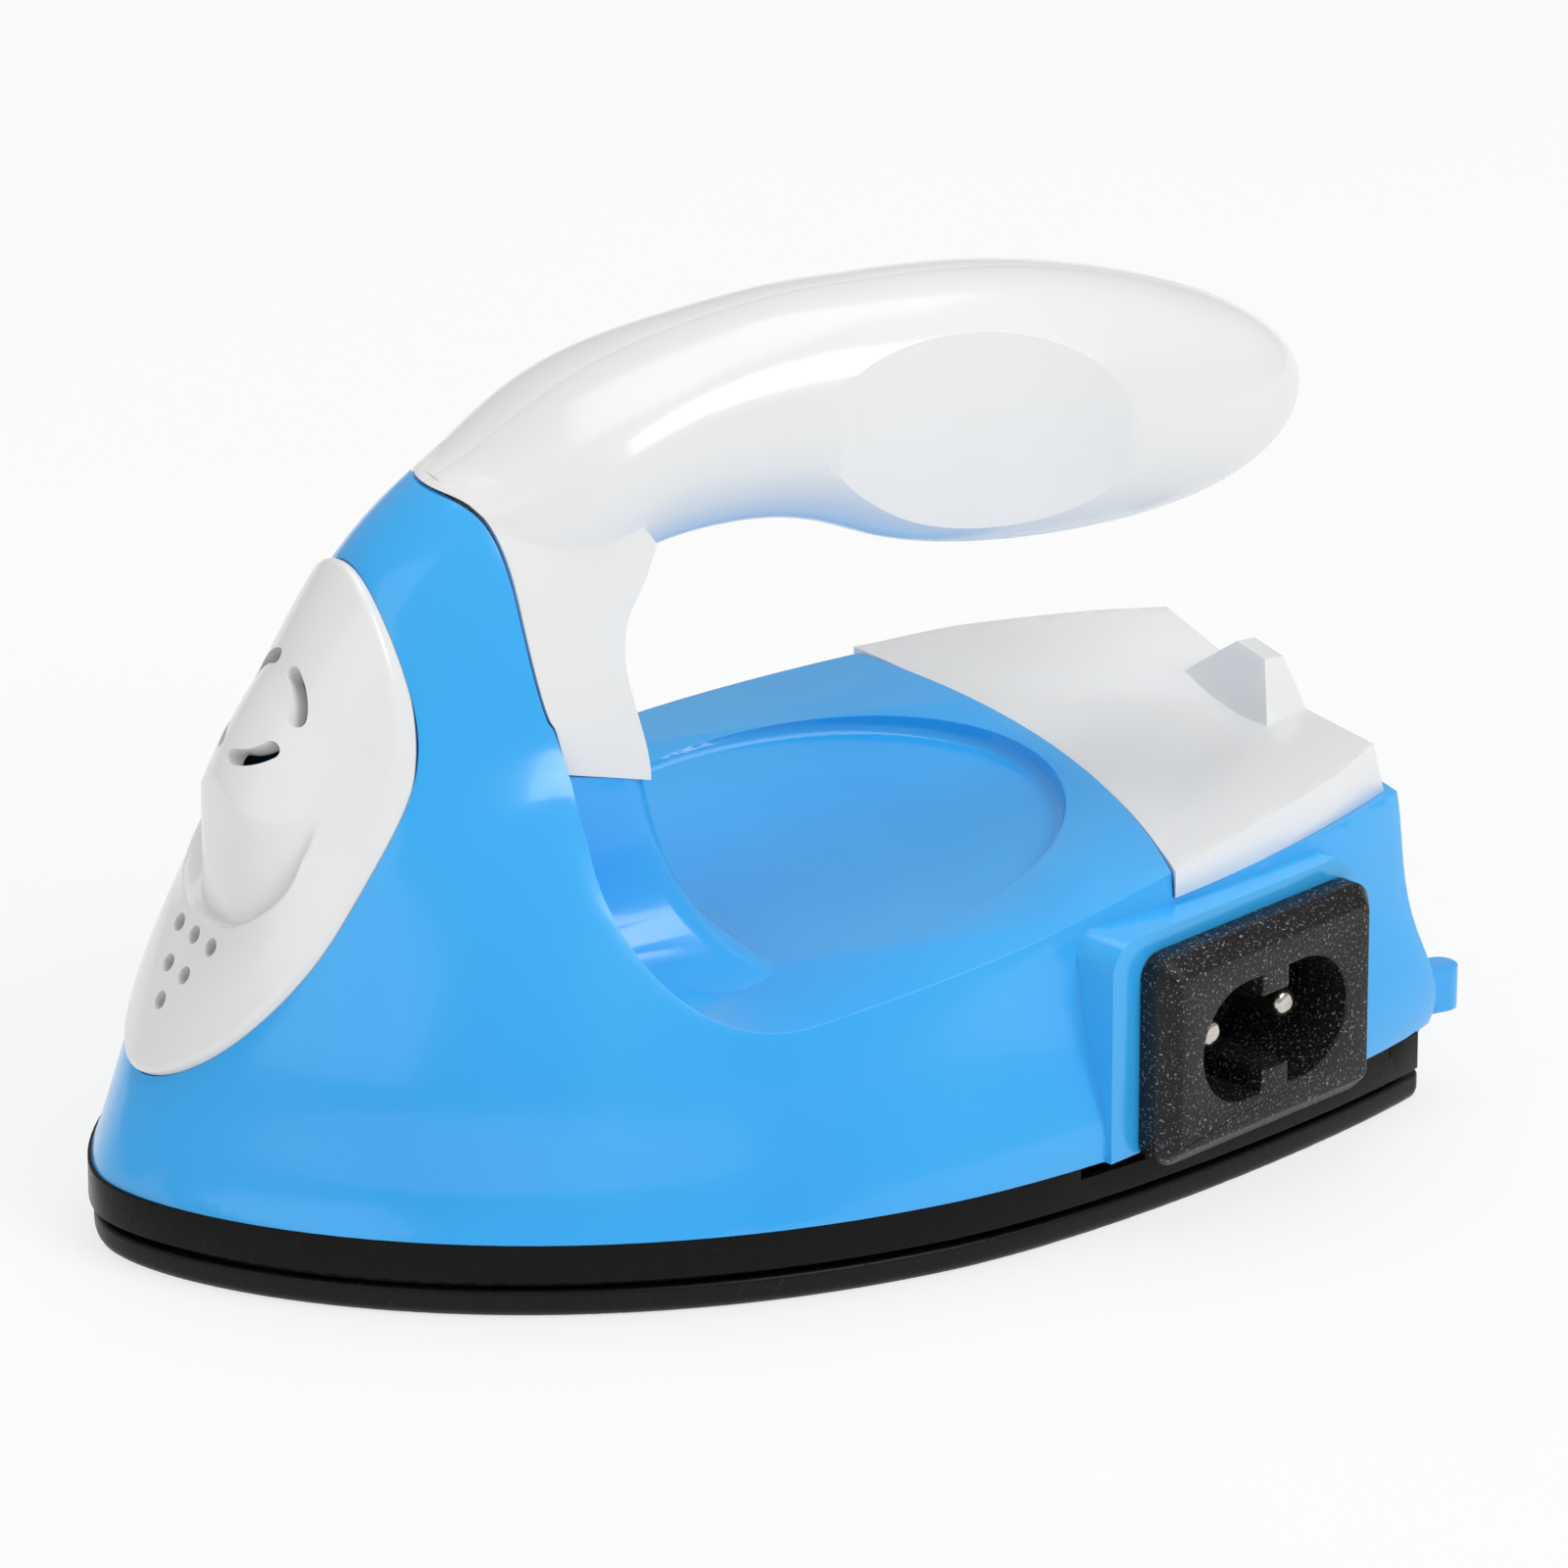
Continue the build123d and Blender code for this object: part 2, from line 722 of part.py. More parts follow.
with BuildPart() as housing:
    add(outer_skin)
    add(side_profile(0), mode=Mode.INTERSECT)
    add(dish_tool.part, mode=Mode.SUBTRACT)
    add(foot_outside.part)
    add(collar.part)
    add(room.part, mode=Mode.SUBTRACT)
    add(cover_pocket.part, mode=Mode.SUBTRACT)
    add(cover_opening.part, mode=Mode.SUBTRACT)
    # panel recess and the opening behind it
    add(panel_seat_tool.part, mode=Mode.SUBTRACT)
    add(panel_prism(-panel_ledge, 5.5, 14), mode=Mode.SUBTRACT)
    # inlet hole
    with BuildSketch(inlet_plane.offset(reach / 2)):
        Rectangle(inlet_body_width + 2 * fit_gap, inlet_body_height + 2 * fit_gap)
    extrude(amount=-reach / 2 - inlet_flange - inlet_body_depth - 2, mode=Mode.SUBTRACT)
    with BuildSketch(collar_plane):
        Rectangle(inlet_width + 2 * fit_gap, inlet_height + 2 * fit_gap)
    extrude(amount=reach / 2, mode=Mode.SUBTRACT)
    # tubes for the long screws, from the shell's base up to their seats
    with BuildSketch(Plane.XY.offset(shield_top)):
        with Locations(*sole_screw_places):
            Circle(screw_tube_radius)
    extrude(amount=screw_seat_z + screw_head_height - shield_top)
    with Locations(*[(x, y, screw_seat_z) for x, y in sole_screw_places]):
        Hole(screw_shank_radius + screw_clearance)
        Cylinder(
            screw_head_radius + screw_clearance,
            2 * screw_head_height,
            align=(Align.CENTER, Align.CENTER, Align.MIN),
            mode=Mode.SUBTRACT,
        )
    # webs that tie the tubes to the tail wall and to the nose
    web_base = shield_top + shield_lip_height + fit_gap
    with BuildSketch(Plane.XY.offset(web_base)):
        for side, tip in ((1, skin_levels[1][6]), (-1, -skin_levels[1][1])):
            run = tip - wall / 2 - sole_screw_x
            with Locations((side * (sole_screw_x + run / 2 + screw_head_radius / 2), 0)):
                Rectangle(run - screw_head_radius, wall)
    extrude(amount=screw_seat_z - web_base)
    # holes for the screws that hold the handle's leg
    with Locations(*[(leg_screw_x, y, leg_floor(leg_screw_x)) for y in (leg_screw_y, -leg_screw_y)]):
        Cylinder(
            small_shank_radius + screw_clearance,
            3 * leg_floor_thickness,
            mode=Mode.SUBTRACT,
        )
    # lugs on the tail wall, each with a hook that reaches down behind the heat shield
    for side in (1, -1):
        with BuildSketch(Plane.XY.offset(heel_lug_z)):
            with Locations((shell_tail_x + (heel_lug_length - heel_lug_root) / 2, side * heel_lug_y)):
                RectangleRounded(heel_lug_length + heel_lug_root, heel_lug_width, heel_lug_width / 2 - 0.1)
        extrude(amount=heel_lug_height)
        with BuildSketch(Plane.XZ.offset(-side * heel_lug_y - hook_width / 2)):
            with BuildLine():
                hook_front = shield_tail_x + fit_gap
                hook_rear = shell_tail_x + 0.4
                Polyline(
                    (hook_front, heel_lug_z + 1),
                    (hook_front, hook_low_z + 0.6),
                    ((hook_front + hook_rear) / 2, hook_low_z),
                    (hook_rear, hook_low_z + 1),
                    (hook_rear, heel_lug_z + 1),
                    close=True,
                )
            make_face()
        extrude(amount=hook_width)

housing.part.label = "housing"
export_step(housing.part, "parts/housing.step")

# ---------------------------------------------------------------- front vent panel
dome_plane = Plane(
    origin=panel_plane.from_local_coords((dome_station, 0, dome_rise - dome_width / 2)),
    x_dir=panel_plane.x_dir,
    z_dir=(0, -1, 0),
)

with BuildPart() as dome:
    with BuildSketch(dome_plane):
        Ellipse(dome_length / 2, dome_width / 2)
        with Locations((0, -dome_width / 2)):
            Rectangle(dome_length, dome_width, mode=Mode.SUBTRACT)
    revolve(axis=Axis(dome_plane.origin, dome_plane.x_dir), revolution_arc=360)

with BuildPart() as panel_back:
    add(skin(panel_thickness - panel_proud))
    add(scoop_tool(panel_thickness), mode=Mode.SUBTRACT)

with BuildPart() as dome_cap:
    add(dome.part)
    add(facet_prism(0), mode=Mode.INTERSECT)

with BuildPart() as front_panel:
    add(skin(-panel_proud))
    add(scoop_tool(0), mode=Mode.SUBTRACT)
    add(dome_cap.part)
    add(panel_prism(0, 8, 14), mode=Mode.INTERSECT)
    add(panel_back.part, mode=Mode.SUBTRACT)
    # arc slots in a ring
    slot_centre = panel_plane.from_local_coords((slot_ring_station, 0, -dome_rise))
    slot_plane = Plane(origin=slot_centre, x_dir=panel_plane.x_dir, z_dir=panel_plane.z_dir)
    with BuildSketch(slot_plane):
        with PolarLocations(0, slot_count, start_angle=slot_phase):
            SlotArc(
                CenterArc((0, 0), slot_ring_radius, -slot_arc / 2, slot_arc, mode=Mode.PRIVATE), slot_width
            )
    extrude(amount=4 * dome_rise, mode=Mode.SUBTRACT)
    # triangular field of round vent holes
    with BuildSketch(panel_plane.offset(-dome_rise)):
        for row, station in enumerate(vent_row_stations):
            holes = len(vent_row_stations) - row
            with Locations((station, 0)):
                with GridLocations(1, vent_hole_pitch, 1, holes):
                    Circle(vent_hole_radius)
    extrude(amount=4 * dome_rise, mode=Mode.SUBTRACT)

front_panel.part.label = "front_panel"
export_step(front_panel.part, "parts/front_panel.step")


# ---------------------------------------------------------------- handle
# Grip stations from the pillar's top to the tail: crest (x, z), belly (x, z), half width,
# share of the height above the widest line
grip_stations = [
    ((-24.0, 58.9), (-12.2, 45.5), 7.4, 0.36),
    ((-18.3, 61.9), (-11.5, 48.0), 9.2, 0.36),
    ((-11.0, 65.6), (-8.5, 50.6), 9.6, 0.38),
    ((-3.6, 67.6), (-3.0, 51.6), 9.1, 0.44),
    ((3.0, 68.6), (3.5, 51.4), 9.0, 0.50),
    ((11.0, 68.9), (11.5, 48.8), 9.7, 0.52),
    ((22.0, 68.4), (22.5, 46.4), 10.3, 0.52),
    ((33.0, 66.4), (33.5, 46.3), 10.0, 0.52),
    ((42.0, 63.4), (41.5, 47.7), 8.7, 0.52),
    ((47.4, 60.4), (46.3, 49.8), 6.4, 0.52),
    ((50.3, 57.0), (49.4, 52.6), 3.0, 0.52),
]


def grip_half(inset):
    """One half of the grip's form, on the +Y side, taken in by the inset all round."""
    with BuildPart() as half_form:
        for (crest_x, crest_z), (belly_x, belly_z), half, upper in grip_stations[(inset > 0):]:
            height = hypot(crest_x - belly_x, crest_z - belly_z)
            rise = ((crest_x - belly_x) / height, 0, (crest_z - belly_z) / height)
            low = inset
            high = height - inset
            widest = low + (1 - upper) * (high - low)
            side = half - inset
            station = Plane(origin=(belly_x, 0, belly_z), x_dir=(0, 1, 0), z_dir=(rise[2], 0, -rise[0]))
            with BuildSketch(station):
                with BuildLine():
                    Line((0, low), (0, high))
                    Bezier((0, high), (0.68 * side, high), (side, widest + 0.58 * (high - widest)), (side, widest))
                    Bezier((side, widest), (side, widest - 0.55 * (widest - low)), (0.62 * side, low), (0, low))
                make_face()
        loft()
    return half_form.part


# Half width of the leg by height, from its seat up into the grip
leg_widths = [(34.0, 13.3), (44.0, 10.8), (50.0, 9.9), (62.0, 9.7)]


def leg_form(inset):
    """The handle's leg in side view, run across the full width, taken in by the inset."""
    floor_lift = leg_floor_thickness * (inset > 0)
    front = boundary_line(fit_gap + inset, fit_gap - inset, leg_floor(pillar_rear_x) + floor_lift)
    rear_low = (leg_rear_x - inset, leg_floor(leg_rear_x) + floor_lift)
    with BuildPart() as prism:
        with BuildSketch(side_plane):
            with BuildLine():
                add(front)
                Line(front @ 1, rear_low)
                Spline(rear_low, (-12.6 - inset, 43.0), (-12.8 - inset, 47.0), (-11.6 - inset, 50.0))
                Polyline((-11.6 - inset, 50.0), (-9.5 - inset, 54.0), (-14.0, 61.0 - 2 * inset), front @ 0)
            make_face()
        extrude(amount=2 * reach)
        with BuildSketch(Plane.YZ.offset(-reach)):
            with BuildLine():
                Polyline(*[(inset - half, z) for z, half in leg_widths])
                Polyline(*[(half - inset, z) for z, half in leg_widths])
                Line((inset - leg_widths[0][1], leg_widths[0][0]), (leg_widths[0][1] - inset, leg_widths[0][0]))
                Line((inset - leg_widths[-1][1], leg_widths[-1][0]), (leg_widths[-1][1] - inset, leg_widths[-1][0]))
            make_face()
        extrude(amount=2 * reach, mode=Mode.INTERSECT)
    return prism.part


with BuildPart() as positive_side:
    with BuildSketch(Plane.XZ):
        Rectangle(4 * reach, 4 * reach)
    extrude(amount=-reach)

with BuildPart() as leg_outside:
    add(outer_skin)
    add(leg_form(0), mode=Mode.INTERSECT)
    add(positive_side.part, mode=Mode.INTERSECT)

with BuildPart() as leg_inside:
    add(skin(leg_wall))
    add(leg_form(leg_wall), mode=Mode.INTERSECT)
    add(positive_side.part, mode=Mode.INTERSECT)

handle_screw_places = [(-9.0, 58.5), (36.0, 56.5)]

with BuildPart() as handle_room:
    add(grip_half(handle_wall))
    with BuildSketch(Plane.XY.offset(-reach)):
        with Locations((grip_dish_x, grip_dish_depth_y + grip_dish_radius)):
            Circle(grip_dish_radius + handle_wall)
    extrude(amount=3 * reach, mode=Mode.SUBTRACT)
    add(leg_inside.part)
    with BuildSketch(Plane.XZ):
        with Locations(*handle_screw_places):
            Circle(handle_boss_radius)
    extrude(amount=-reach, mode=Mode.SUBTRACT)

with BuildPart() as handle_half:
    add(grip_half(0))
    add(leg_outside.part)
    with BuildSketch(Plane.XY.offset(-reach)):
        with Locations((grip_dish_x, grip_dish_depth_y + grip_dish_radius)):
            Circle(grip_dish_radius)
    extrude(amount=3 * reach, mode=Mode.SUBTRACT)
    add(handle_room.part, mode=Mode.SUBTRACT)
    with Locations((leg_screw_x, leg_screw_y, leg_floor(leg_screw_x))):
        Cylinder(
            small_shank_radius + screw_clearance,
            2 * (leg_screw_bury + screw_clearance),
            mode=Mode.SUBTRACT,
        )

with BuildPart() as handle_left:
    add(mirror(handle_half.part, about=Plane.XZ))
    with BuildSketch(Plane.XZ):
        with Locations(*handle_screw_places):
            Circle(small_shank_radius + screw_clearance)
    extrude(amount=screw_bury + screw_clearance, mode=Mode.SUBTRACT)

with BuildPart() as handle_right:
    add(handle_half.part)
    with BuildSketch(Plane.XZ):
        with Locations(*handle_screw_places):
            Circle(small_shank_radius + screw_clearance)
    extrude(amount=-reach, mode=Mode.SUBTRACT)
    with BuildSketch(Plane.XZ.offset(-handle_screw_seat_y)):
        with Locations(*handle_screw_places):
            Circle(small_head_radius + screw_clearance)
    extrude(amount=-reach, mode=Mode.SUBTRACT)

handle_left.part.label = "handle_left"
export_step(handle_left.part, "parts/handle_left.step")
handle_right.part.label = "handle_right"
export_step(handle_right.part, "parts/handle_right.step")

# ---------------------------------------------------------------- rear cover
with BuildPart() as cover_skirt:
    skirt_inset = cover_wall + cover_ledge + fit_gap
    with BuildSketch(Plane.XY.offset(cover_seat_z - cover_skirt_depth)):
        add(cover_outline(skirt_inset))
        add(cover_outline(skirt_inset + cover_skirt_wall), mode=Mode.SUBTRACT)
    extrude(amount=gable_top_z)
    add(cover_form(0, cover_wall / 2), mode=Mode.INTERSECT)

with BuildPart() as rear_cover:
    add(cover_form(0, 0))
    add(above_seat(0), mode=Mode.INTERSECT)
    add(cover_form(cover_wall, cover_wall), mode=Mode.SUBTRACT)
    add(cover_skirt.part)

rear_cover.part.label = "rear_cover"
export_step(rear_cover.part, "parts/rear_cover.step")

# ---------------------------------------------------------------- mains inlet
with BuildPart() as inlet_body:
    with BuildSketch(collar_plane):
        RectangleRounded(inlet_width, inlet_height, inlet_corner_radius)
    extrude(amount=inlet_flange)
    chamfer(inlet_body.faces().sort_by(Axis(inlet_plane.origin, inlet_plane.z_dir))[-1].edges(), inlet_bevel)
    with BuildSketch(collar_plane):
        RectangleRounded(inlet_body_width, inlet_body_height, inlet_corner_radius)
    extrude(amount=-inlet_body_depth)
    with BuildSketch(inlet_plane):
        SlotOverall(socket_width, socket_height)
        for side in (1, -1):
            with Locations((0, side * (socket_height - socket_key_height) / 2)):
                Rectangle(socket_key_width, socket_key_height, mode=Mode.SUBTRACT)
    extrude(amount=-socket_depth, mode=Mode.SUBTRACT)
    with BuildSketch(inlet_plane):
        with Locations((pin_spacing / 2, 0), (-pin_spacing / 2, 0)):
            Circle(pin_shank_radius + press_gap)
    extrude(amount=-reach / 2, mode=Mode.SUBTRACT)

inlet_body.part.label = "inlet_body"
export_step(inlet_body.part, "parts/inlet_body.step")

socket_floor = inlet_plane.offset(-socket_depth)
inlet_back = inlet_flange + inlet_body_depth
for name, side in (("inlet_pin_live", 1), ("inlet_pin_neutral", -1)):
    with BuildPart() as inlet_pin:
        with BuildSketch(socket_floor):
            with Locations((side * pin_spacing / 2, 0)):
                Circle(pin_radius)
        extrude(amount=pin_length)
        fillet(
            inlet_pin.faces().sort_by(Axis(inlet_plane.origin, inlet_plane.z_dir))[-1].edges(), pin_tip_radius
        )
        with BuildSketch(socket_floor):
            with Locations((side * pin_spacing / 2, 0)):
                Circle(pin_shank_radius)
        extrude(amount=socket_depth - inlet_back)
        with BuildSketch(inlet_plane.offset(-inlet_back)):
            with Locations((side * pin_spacing / 2, 0)):
                Circle(pin_tail_radius)
        extrude(amount=-pin_tail_length)
    inlet_pin.part.label = name
    export_step(inlet_pin.part, "parts/" + name + ".step")


# ---------------------------------------------------------------- heater stack
def electrode(level, side):
    """Flat contact strip with a soldering tab at each end, on the side given."""
    length = 2 * chip_length + chip_gap + 1
    with BuildPart() as strip:
        with BuildSketch(Plane.XY.offset(level)):
            Rectangle(length, chip_width)
            with Locations((0, side * electrode_tab_y)):
                Rectangle(film_length + 2 * electrode_tab_length, electrode_tab_width)
        extrude(amount=electrode_thickness)
    return strip.part


with BuildPart() as insulating_film:
    with BuildSketch(Plane.XY.offset(pad_top)):
        Rectangle(film_length, film_width)
    extrude(amount=film_top - pad_top)
    with BuildSketch(Plane.XY.offset(electrode_lower_z)):
        Rectangle(2 * film_length, film_width - 2 * film_wall)
    extrude(amount=film_top - film_wall - electrode_lower_z, mode=Mode.SUBTRACT)

insulating_film.part.label = "insulating_film"
export_step(insulating_film.part, "parts/insulating_film.step")

with BuildPart() as electrode_lower:
    add(electrode(electrode_lower_z, -1))

electrode_lower.part.label = "electrode_lower"
export_step(electrode_lower.part, "parts/electrode_lower.step")

with BuildPart() as ptc_chips:
    with BuildSketch(Plane.XY.offset(chip_z)):
        with GridLocations(chip_step, 1, 2, 1):
            Rectangle(chip_length, chip_width)
    extrude(amount=chip_thickness)

ptc_chips.part.label = "ptc_chips"
export_step(ptc_chips.part, "parts/ptc_chips.step")

with BuildPart() as electrode_upper:
    add(electrode(electrode_upper_z, 1))

electrode_upper.part.label = "electrode_upper"
export_step(electrode_upper.part, "parts/electrode_upper.step")

with BuildPart() as clamp_plate:
    with BuildSketch(Plane.XY.offset(film_top)):
        RectangleRounded(clamp_width, clamp_length, clamp_width / 4)
        with Locations(*clamp_places):
            Circle(small_shank_radius + screw_clearance, mode=Mode.SUBTRACT)
    extrude(amount=clamp_thickness)

clamp_plate.part.label = "clamp_plate"
export_step(clamp_plate.part, "parts/clamp_plate.step")


# ---------------------------------------------------------------- fasteners
def screw(head_radius, head_height, shank_radius, length):
    """Pan-head screw with a cross recess, its shank along -Z from the head's seat."""
    with BuildPart() as fastener:
        Cylinder(head_radius, head_height, align=(Align.CENTER, Align.CENTER, Align.MIN))
        fillet(fastener.edges().sort_by(Axis.Z)[-1], head_height / 3)
        with BuildSketch(Plane.XY.offset(head_height / 2)):
            Rectangle(head_radius, head_radius / 4)
            Rectangle(head_radius / 4, head_radius)
        extrude(amount=head_height, mode=Mode.SUBTRACT)
        Cylinder(shank_radius, length, align=(Align.CENTER, Align.CENTER, Align.MAX))
    return fastener.part


small_screws = {
    "clamp_screws": (clamp_thickness + screw_bury, [(x, y, clamp_top) for x, y in clamp_places]),
    "shield_screws": (
        shield_floor + sole_thickness - screw_clearance,
        [(x, y, shield_bottom + shield_floor) for x, y in shield_screw_places],
    ),
    "lamp_board_screws": (
        lamp_board_thickness + screw_bury,
        [(x, y, lamp_board_z + lamp_board_thickness) for x, y in lamp_post_places],
    ),
}
for name, (length, places) in small_screws.items():
    with BuildPart() as screw_set:
        with Locations(*places):
            add(screw(small_head_radius, small_head_height, small_shank_radius, length))
    screw_set.part.label = name
    export_step(screw_set.part, "parts/" + name + ".step")

sole_screw_length = screw_seat_z - shield_bottom - shield_floor - 1 + screw_bury
with BuildPart() as sole_screws:
    with Locations(*[(x, y, screw_seat_z) for x, y in sole_screw_places]):
        add(screw(screw_head_radius, screw_head_height, screw_shank_radius, sole_screw_length))

sole_screws.part.label = "sole_screws"
export_step(sole_screws.part, "parts/sole_screws.step")

# heads against the underside of the foot's ceiling, shanks up into the leg
leg_seat_z = leg_floor(leg_screw_x + small_head_radius) - leg_floor_thickness - press_gap
with BuildPart() as leg_screws:
    with Locations(*[Location((leg_screw_x, y, leg_seat_z), (180, 0, 0)) for y in (leg_screw_y, -leg_screw_y)]):
        add(
            screw(
                small_head_radius,
                small_head_height,
                small_shank_radius,
                leg_floor(leg_screw_x) + leg_screw_bury - leg_seat_z,
            )
        )

leg_screws.part.label = "leg_screws"
export_step(leg_screws.part, "parts/leg_screws.step")

with BuildPart() as handle_screws:
    with Locations(*[Location((x, handle_screw_seat_y, z), (-90, 0, 0)) for x, z in handle_screw_places]):
        add(screw(small_head_radius, small_head_height, small_shank_radius, handle_screw_seat_y + screw_bury))

handle_screws.part.label = "handle_screws"
export_step(handle_screws.part, "parts/handle_screws.step")

# ---------------------------------------------------------------- thermal fuse
fuse_z = clamp_top + fuse_radius + press_gap + sleeve_wall
fuse_plane = Plane(origin=(0, fuse_length / 2, fuse_z), x_dir=(1, 0, 0), z_dir=(0, -1, 0))

with BuildPart() as thermal_fuse:
    with BuildSketch(fuse_plane):
        Circle(fuse_radius)
    extrude(amount=fuse_length)
    chamfer(thermal_fuse.edges().filter_by(GeomType.CIRCLE), fuse_radius / 4)

thermal_fuse.part.label = "thermal_fuse"
export_step(thermal_fuse.part, "parts/thermal_fuse.step")

with BuildPart() as fuse_sleeve:
    with BuildSketch(fuse_plane.offset((fuse_length - sleeve_length) / 2)):
        Circle(fuse_radius + press_gap + sleeve_wall)
        Circle(fuse_radius + press_gap, mode=Mode.SUBTRACT)
    extrude(amount=sleeve_length)

fuse_sleeve.part.label = "fuse_sleeve"
export_step(fuse_sleeve.part, "parts/fuse_sleeve.step")

# ---------------------------------------------------------------- lamp behind the panel
board_top = lamp_board_z + lamp_board_thickness
with BuildPart() as lamp_board:
    with BuildSketch(Plane.XY.offset(lamp_board_z)):
        with Locations((lamp_board_x, 0)):
            Rectangle(lamp_board_length, lamp_board_width)
        with Locations(*lamp_post_places):
            Circle(small_shank_radius + screw_clearance, mode=Mode.SUBTRACT)
    extrude(amount=lamp_board_thickness)

lamp_board.part.label = "lamp_board"
export_step(lamp_board.part, "parts/lamp_board.step")

with BuildPart() as indicator_led:
    with Locations((lamp_board_x - led_rim, 0, board_top)):
        Cylinder(led_radius + led_rim, 2 * led_rim, align=(Align.CENTER, Align.CENTER, Align.MIN))
        Cylinder(led_radius, led_height, align=(Align.CENTER, Align.CENTER, Align.MIN))
    fillet(indicator_led.edges().sort_by(Axis.Z)[-1], 0.9 * led_radius)

indicator_led.part.label = "indicator_led"
export_step(indicator_led.part, "parts/indicator_led.step")

resistor_x = lamp_board_x + lamp_board_length / 2 - resistor_radius - 0.1
resistor_plane = Plane(
    origin=(resistor_x, resistor_length / 2, board_top + resistor_radius), x_dir=(1, 0, 0), z_dir=(0, -1, 0)
)
with BuildPart() as lamp_resistor:
    with BuildSketch(resistor_plane):
        Circle(resistor_radius)
    extrude(amount=resistor_length)
    fillet(lamp_resistor.edges().filter_by(GeomType.CIRCLE), resistor_radius / 2)

lamp_resistor.part.label = "lamp_resistor"
export_step(lamp_resistor.part, "parts/lamp_resistor.step")

# ---------------------------------------------------------------- leads
tab_x = film_length / 2 + electrode_tab_length / 2
lower_tab_top = electrode_lower_z + electrode_thickness
upper_tab_top = electrode_upper_z + electrode_thickness


def pin_tail(side, run):
    """Point on a pin's axis, the run beyond the end of its soldering tail."""
    depth = inlet_back + pin_tail_length + run
    return tuple(inlet_plane.from_local_coords((side * pin_spacing / 2, 0, -depth)))


def lead(route, radius, bend):
    """Insulated lead swept along straight runs joined by tangent arcs."""
    with BuildPart() as wire:
        with BuildLine() as path:
            FilletPolyline(*route, radius=bend)
        with BuildSketch(Plane(origin=path.line @ 0, z_dir=path.line % 0)):
            Circle(radius)
        sweep()
    return wire.part


fuse_end = fuse_length / 2
lead_routes = {
    "lead_live_inlet": (
        lead_radius,
        [
            pin_tail(1, 0),
            pin_tail(1, 4),
            (22.0, -9.5, 15.5),
            (7.0, -14.0, 14.5),
            (0, -13.5, fuse_z),
            (0, -fuse_end, fuse_z),
        ],
    ),
    "lead_live_heater": (
        lead_radius,
        [
            (0, fuse_end, fuse_z),
            (0, 12.5, fuse_z),
            (9.0, 13.0, 11.5),
            (21.0, 9.0, 10.0),
            (22.0, electrode_tab_y, upper_tab_top + lead_radius),
            (tab_x - 1, electrode_tab_y, upper_tab_top + lead_radius),
        ],
    ),
    "lead_neutral": (
        lead_radius,
        [
            pin_tail(-1, 0),
            pin_tail(-1, 3.5),
            (22.5, -6.5, 9.5),
            (22.5, -electrode_tab_y, lower_tab_top + lead_radius),
            (tab_x - 1, -electrode_tab_y, lower_tab_top + lead_radius),
        ],
    ),
}
for name, (radius, route) in lead_routes.items():
    wire = lead(route, radius, 1.6 * radius)
    wire.label = name
    export_step(wire, "parts/" + name + ".step")

with BuildPart() as lamp_leads:
    for side, tab_top in ((-1, lower_tab_top), (1, upper_tab_top)):
        y = side * electrode_tab_y
        add(
            lead(
                [
                    (-tab_x + 1, y, tab_top + lamp_lead_radius),
                    (-tab_x - 3, y, tab_top + lamp_lead_radius),
                    (-tab_x - 4, y, board_top + lamp_lead_radius + 2),
                    (-tab_x - 7, y, board_top + lamp_lead_radius),
                    (-tab_x - 9, y, board_top + lamp_lead_radius),
                ],
                lamp_lead_radius,
                1.2,
            )
        )

lamp_leads.part.label = "lamp_leads"
export_step(lamp_leads.part, "parts/lamp_leads.step")
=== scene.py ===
"""Looks of the mini handheld heat press: materials, finer shells and the studio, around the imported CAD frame."""
import json
import math

import bmesh
import bpy
import numpy as np
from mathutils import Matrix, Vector
from mathutils.bvhtree import BVHTree


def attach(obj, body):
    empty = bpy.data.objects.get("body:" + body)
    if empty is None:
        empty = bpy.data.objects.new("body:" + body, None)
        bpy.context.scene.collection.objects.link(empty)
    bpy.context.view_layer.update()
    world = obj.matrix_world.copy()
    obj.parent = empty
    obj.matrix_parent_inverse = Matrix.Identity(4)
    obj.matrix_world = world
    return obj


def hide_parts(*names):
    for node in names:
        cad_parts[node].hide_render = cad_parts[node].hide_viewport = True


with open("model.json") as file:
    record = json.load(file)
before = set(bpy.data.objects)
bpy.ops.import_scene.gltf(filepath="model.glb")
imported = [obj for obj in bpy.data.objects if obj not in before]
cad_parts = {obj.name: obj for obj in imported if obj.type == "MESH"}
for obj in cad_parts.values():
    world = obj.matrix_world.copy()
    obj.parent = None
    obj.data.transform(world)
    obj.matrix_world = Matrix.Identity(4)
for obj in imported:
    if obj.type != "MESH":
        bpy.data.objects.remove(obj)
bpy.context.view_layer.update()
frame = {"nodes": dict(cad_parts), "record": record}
nodes = frame["nodes"]
scene = bpy.context.scene
MM = 0.001  # the shapes below are written in millimetres, the scene is in metres


def add_object(name, data):
    """A new object in the scene that shows the given mesh, lamp or camera."""
    made = bpy.data.objects.new(name, data)
    scene.collection.objects.link(made)
    return made


# ---------------------------------------------------------------- camera at the photograph's angle
AZIMUTH = math.radians(-27.0)
ELEVATION = math.radians(21.8)
DISTANCE = 0.918
TARGET = Vector((0.00603, 0.0, 0.0282))

camera_data = bpy.data.cameras.new("camera")
camera_data.lens = 270.0
camera_data.sensor_width = 36.0
camera_data.clip_start = 0.05
camera_data.clip_end = 20.0
camera = add_object("camera", camera_data)
toward = Vector((
    math.sin(AZIMUTH) * math.cos(ELEVATION),
    -math.cos(AZIMUTH) * math.cos(ELEVATION),
    math.sin(ELEVATION),
))
camera.location = TARGET + DISTANCE * toward
camera.rotation_euler = (-toward).to_track_quat("-Z", "Y").to_euler()
scene.camera = camera


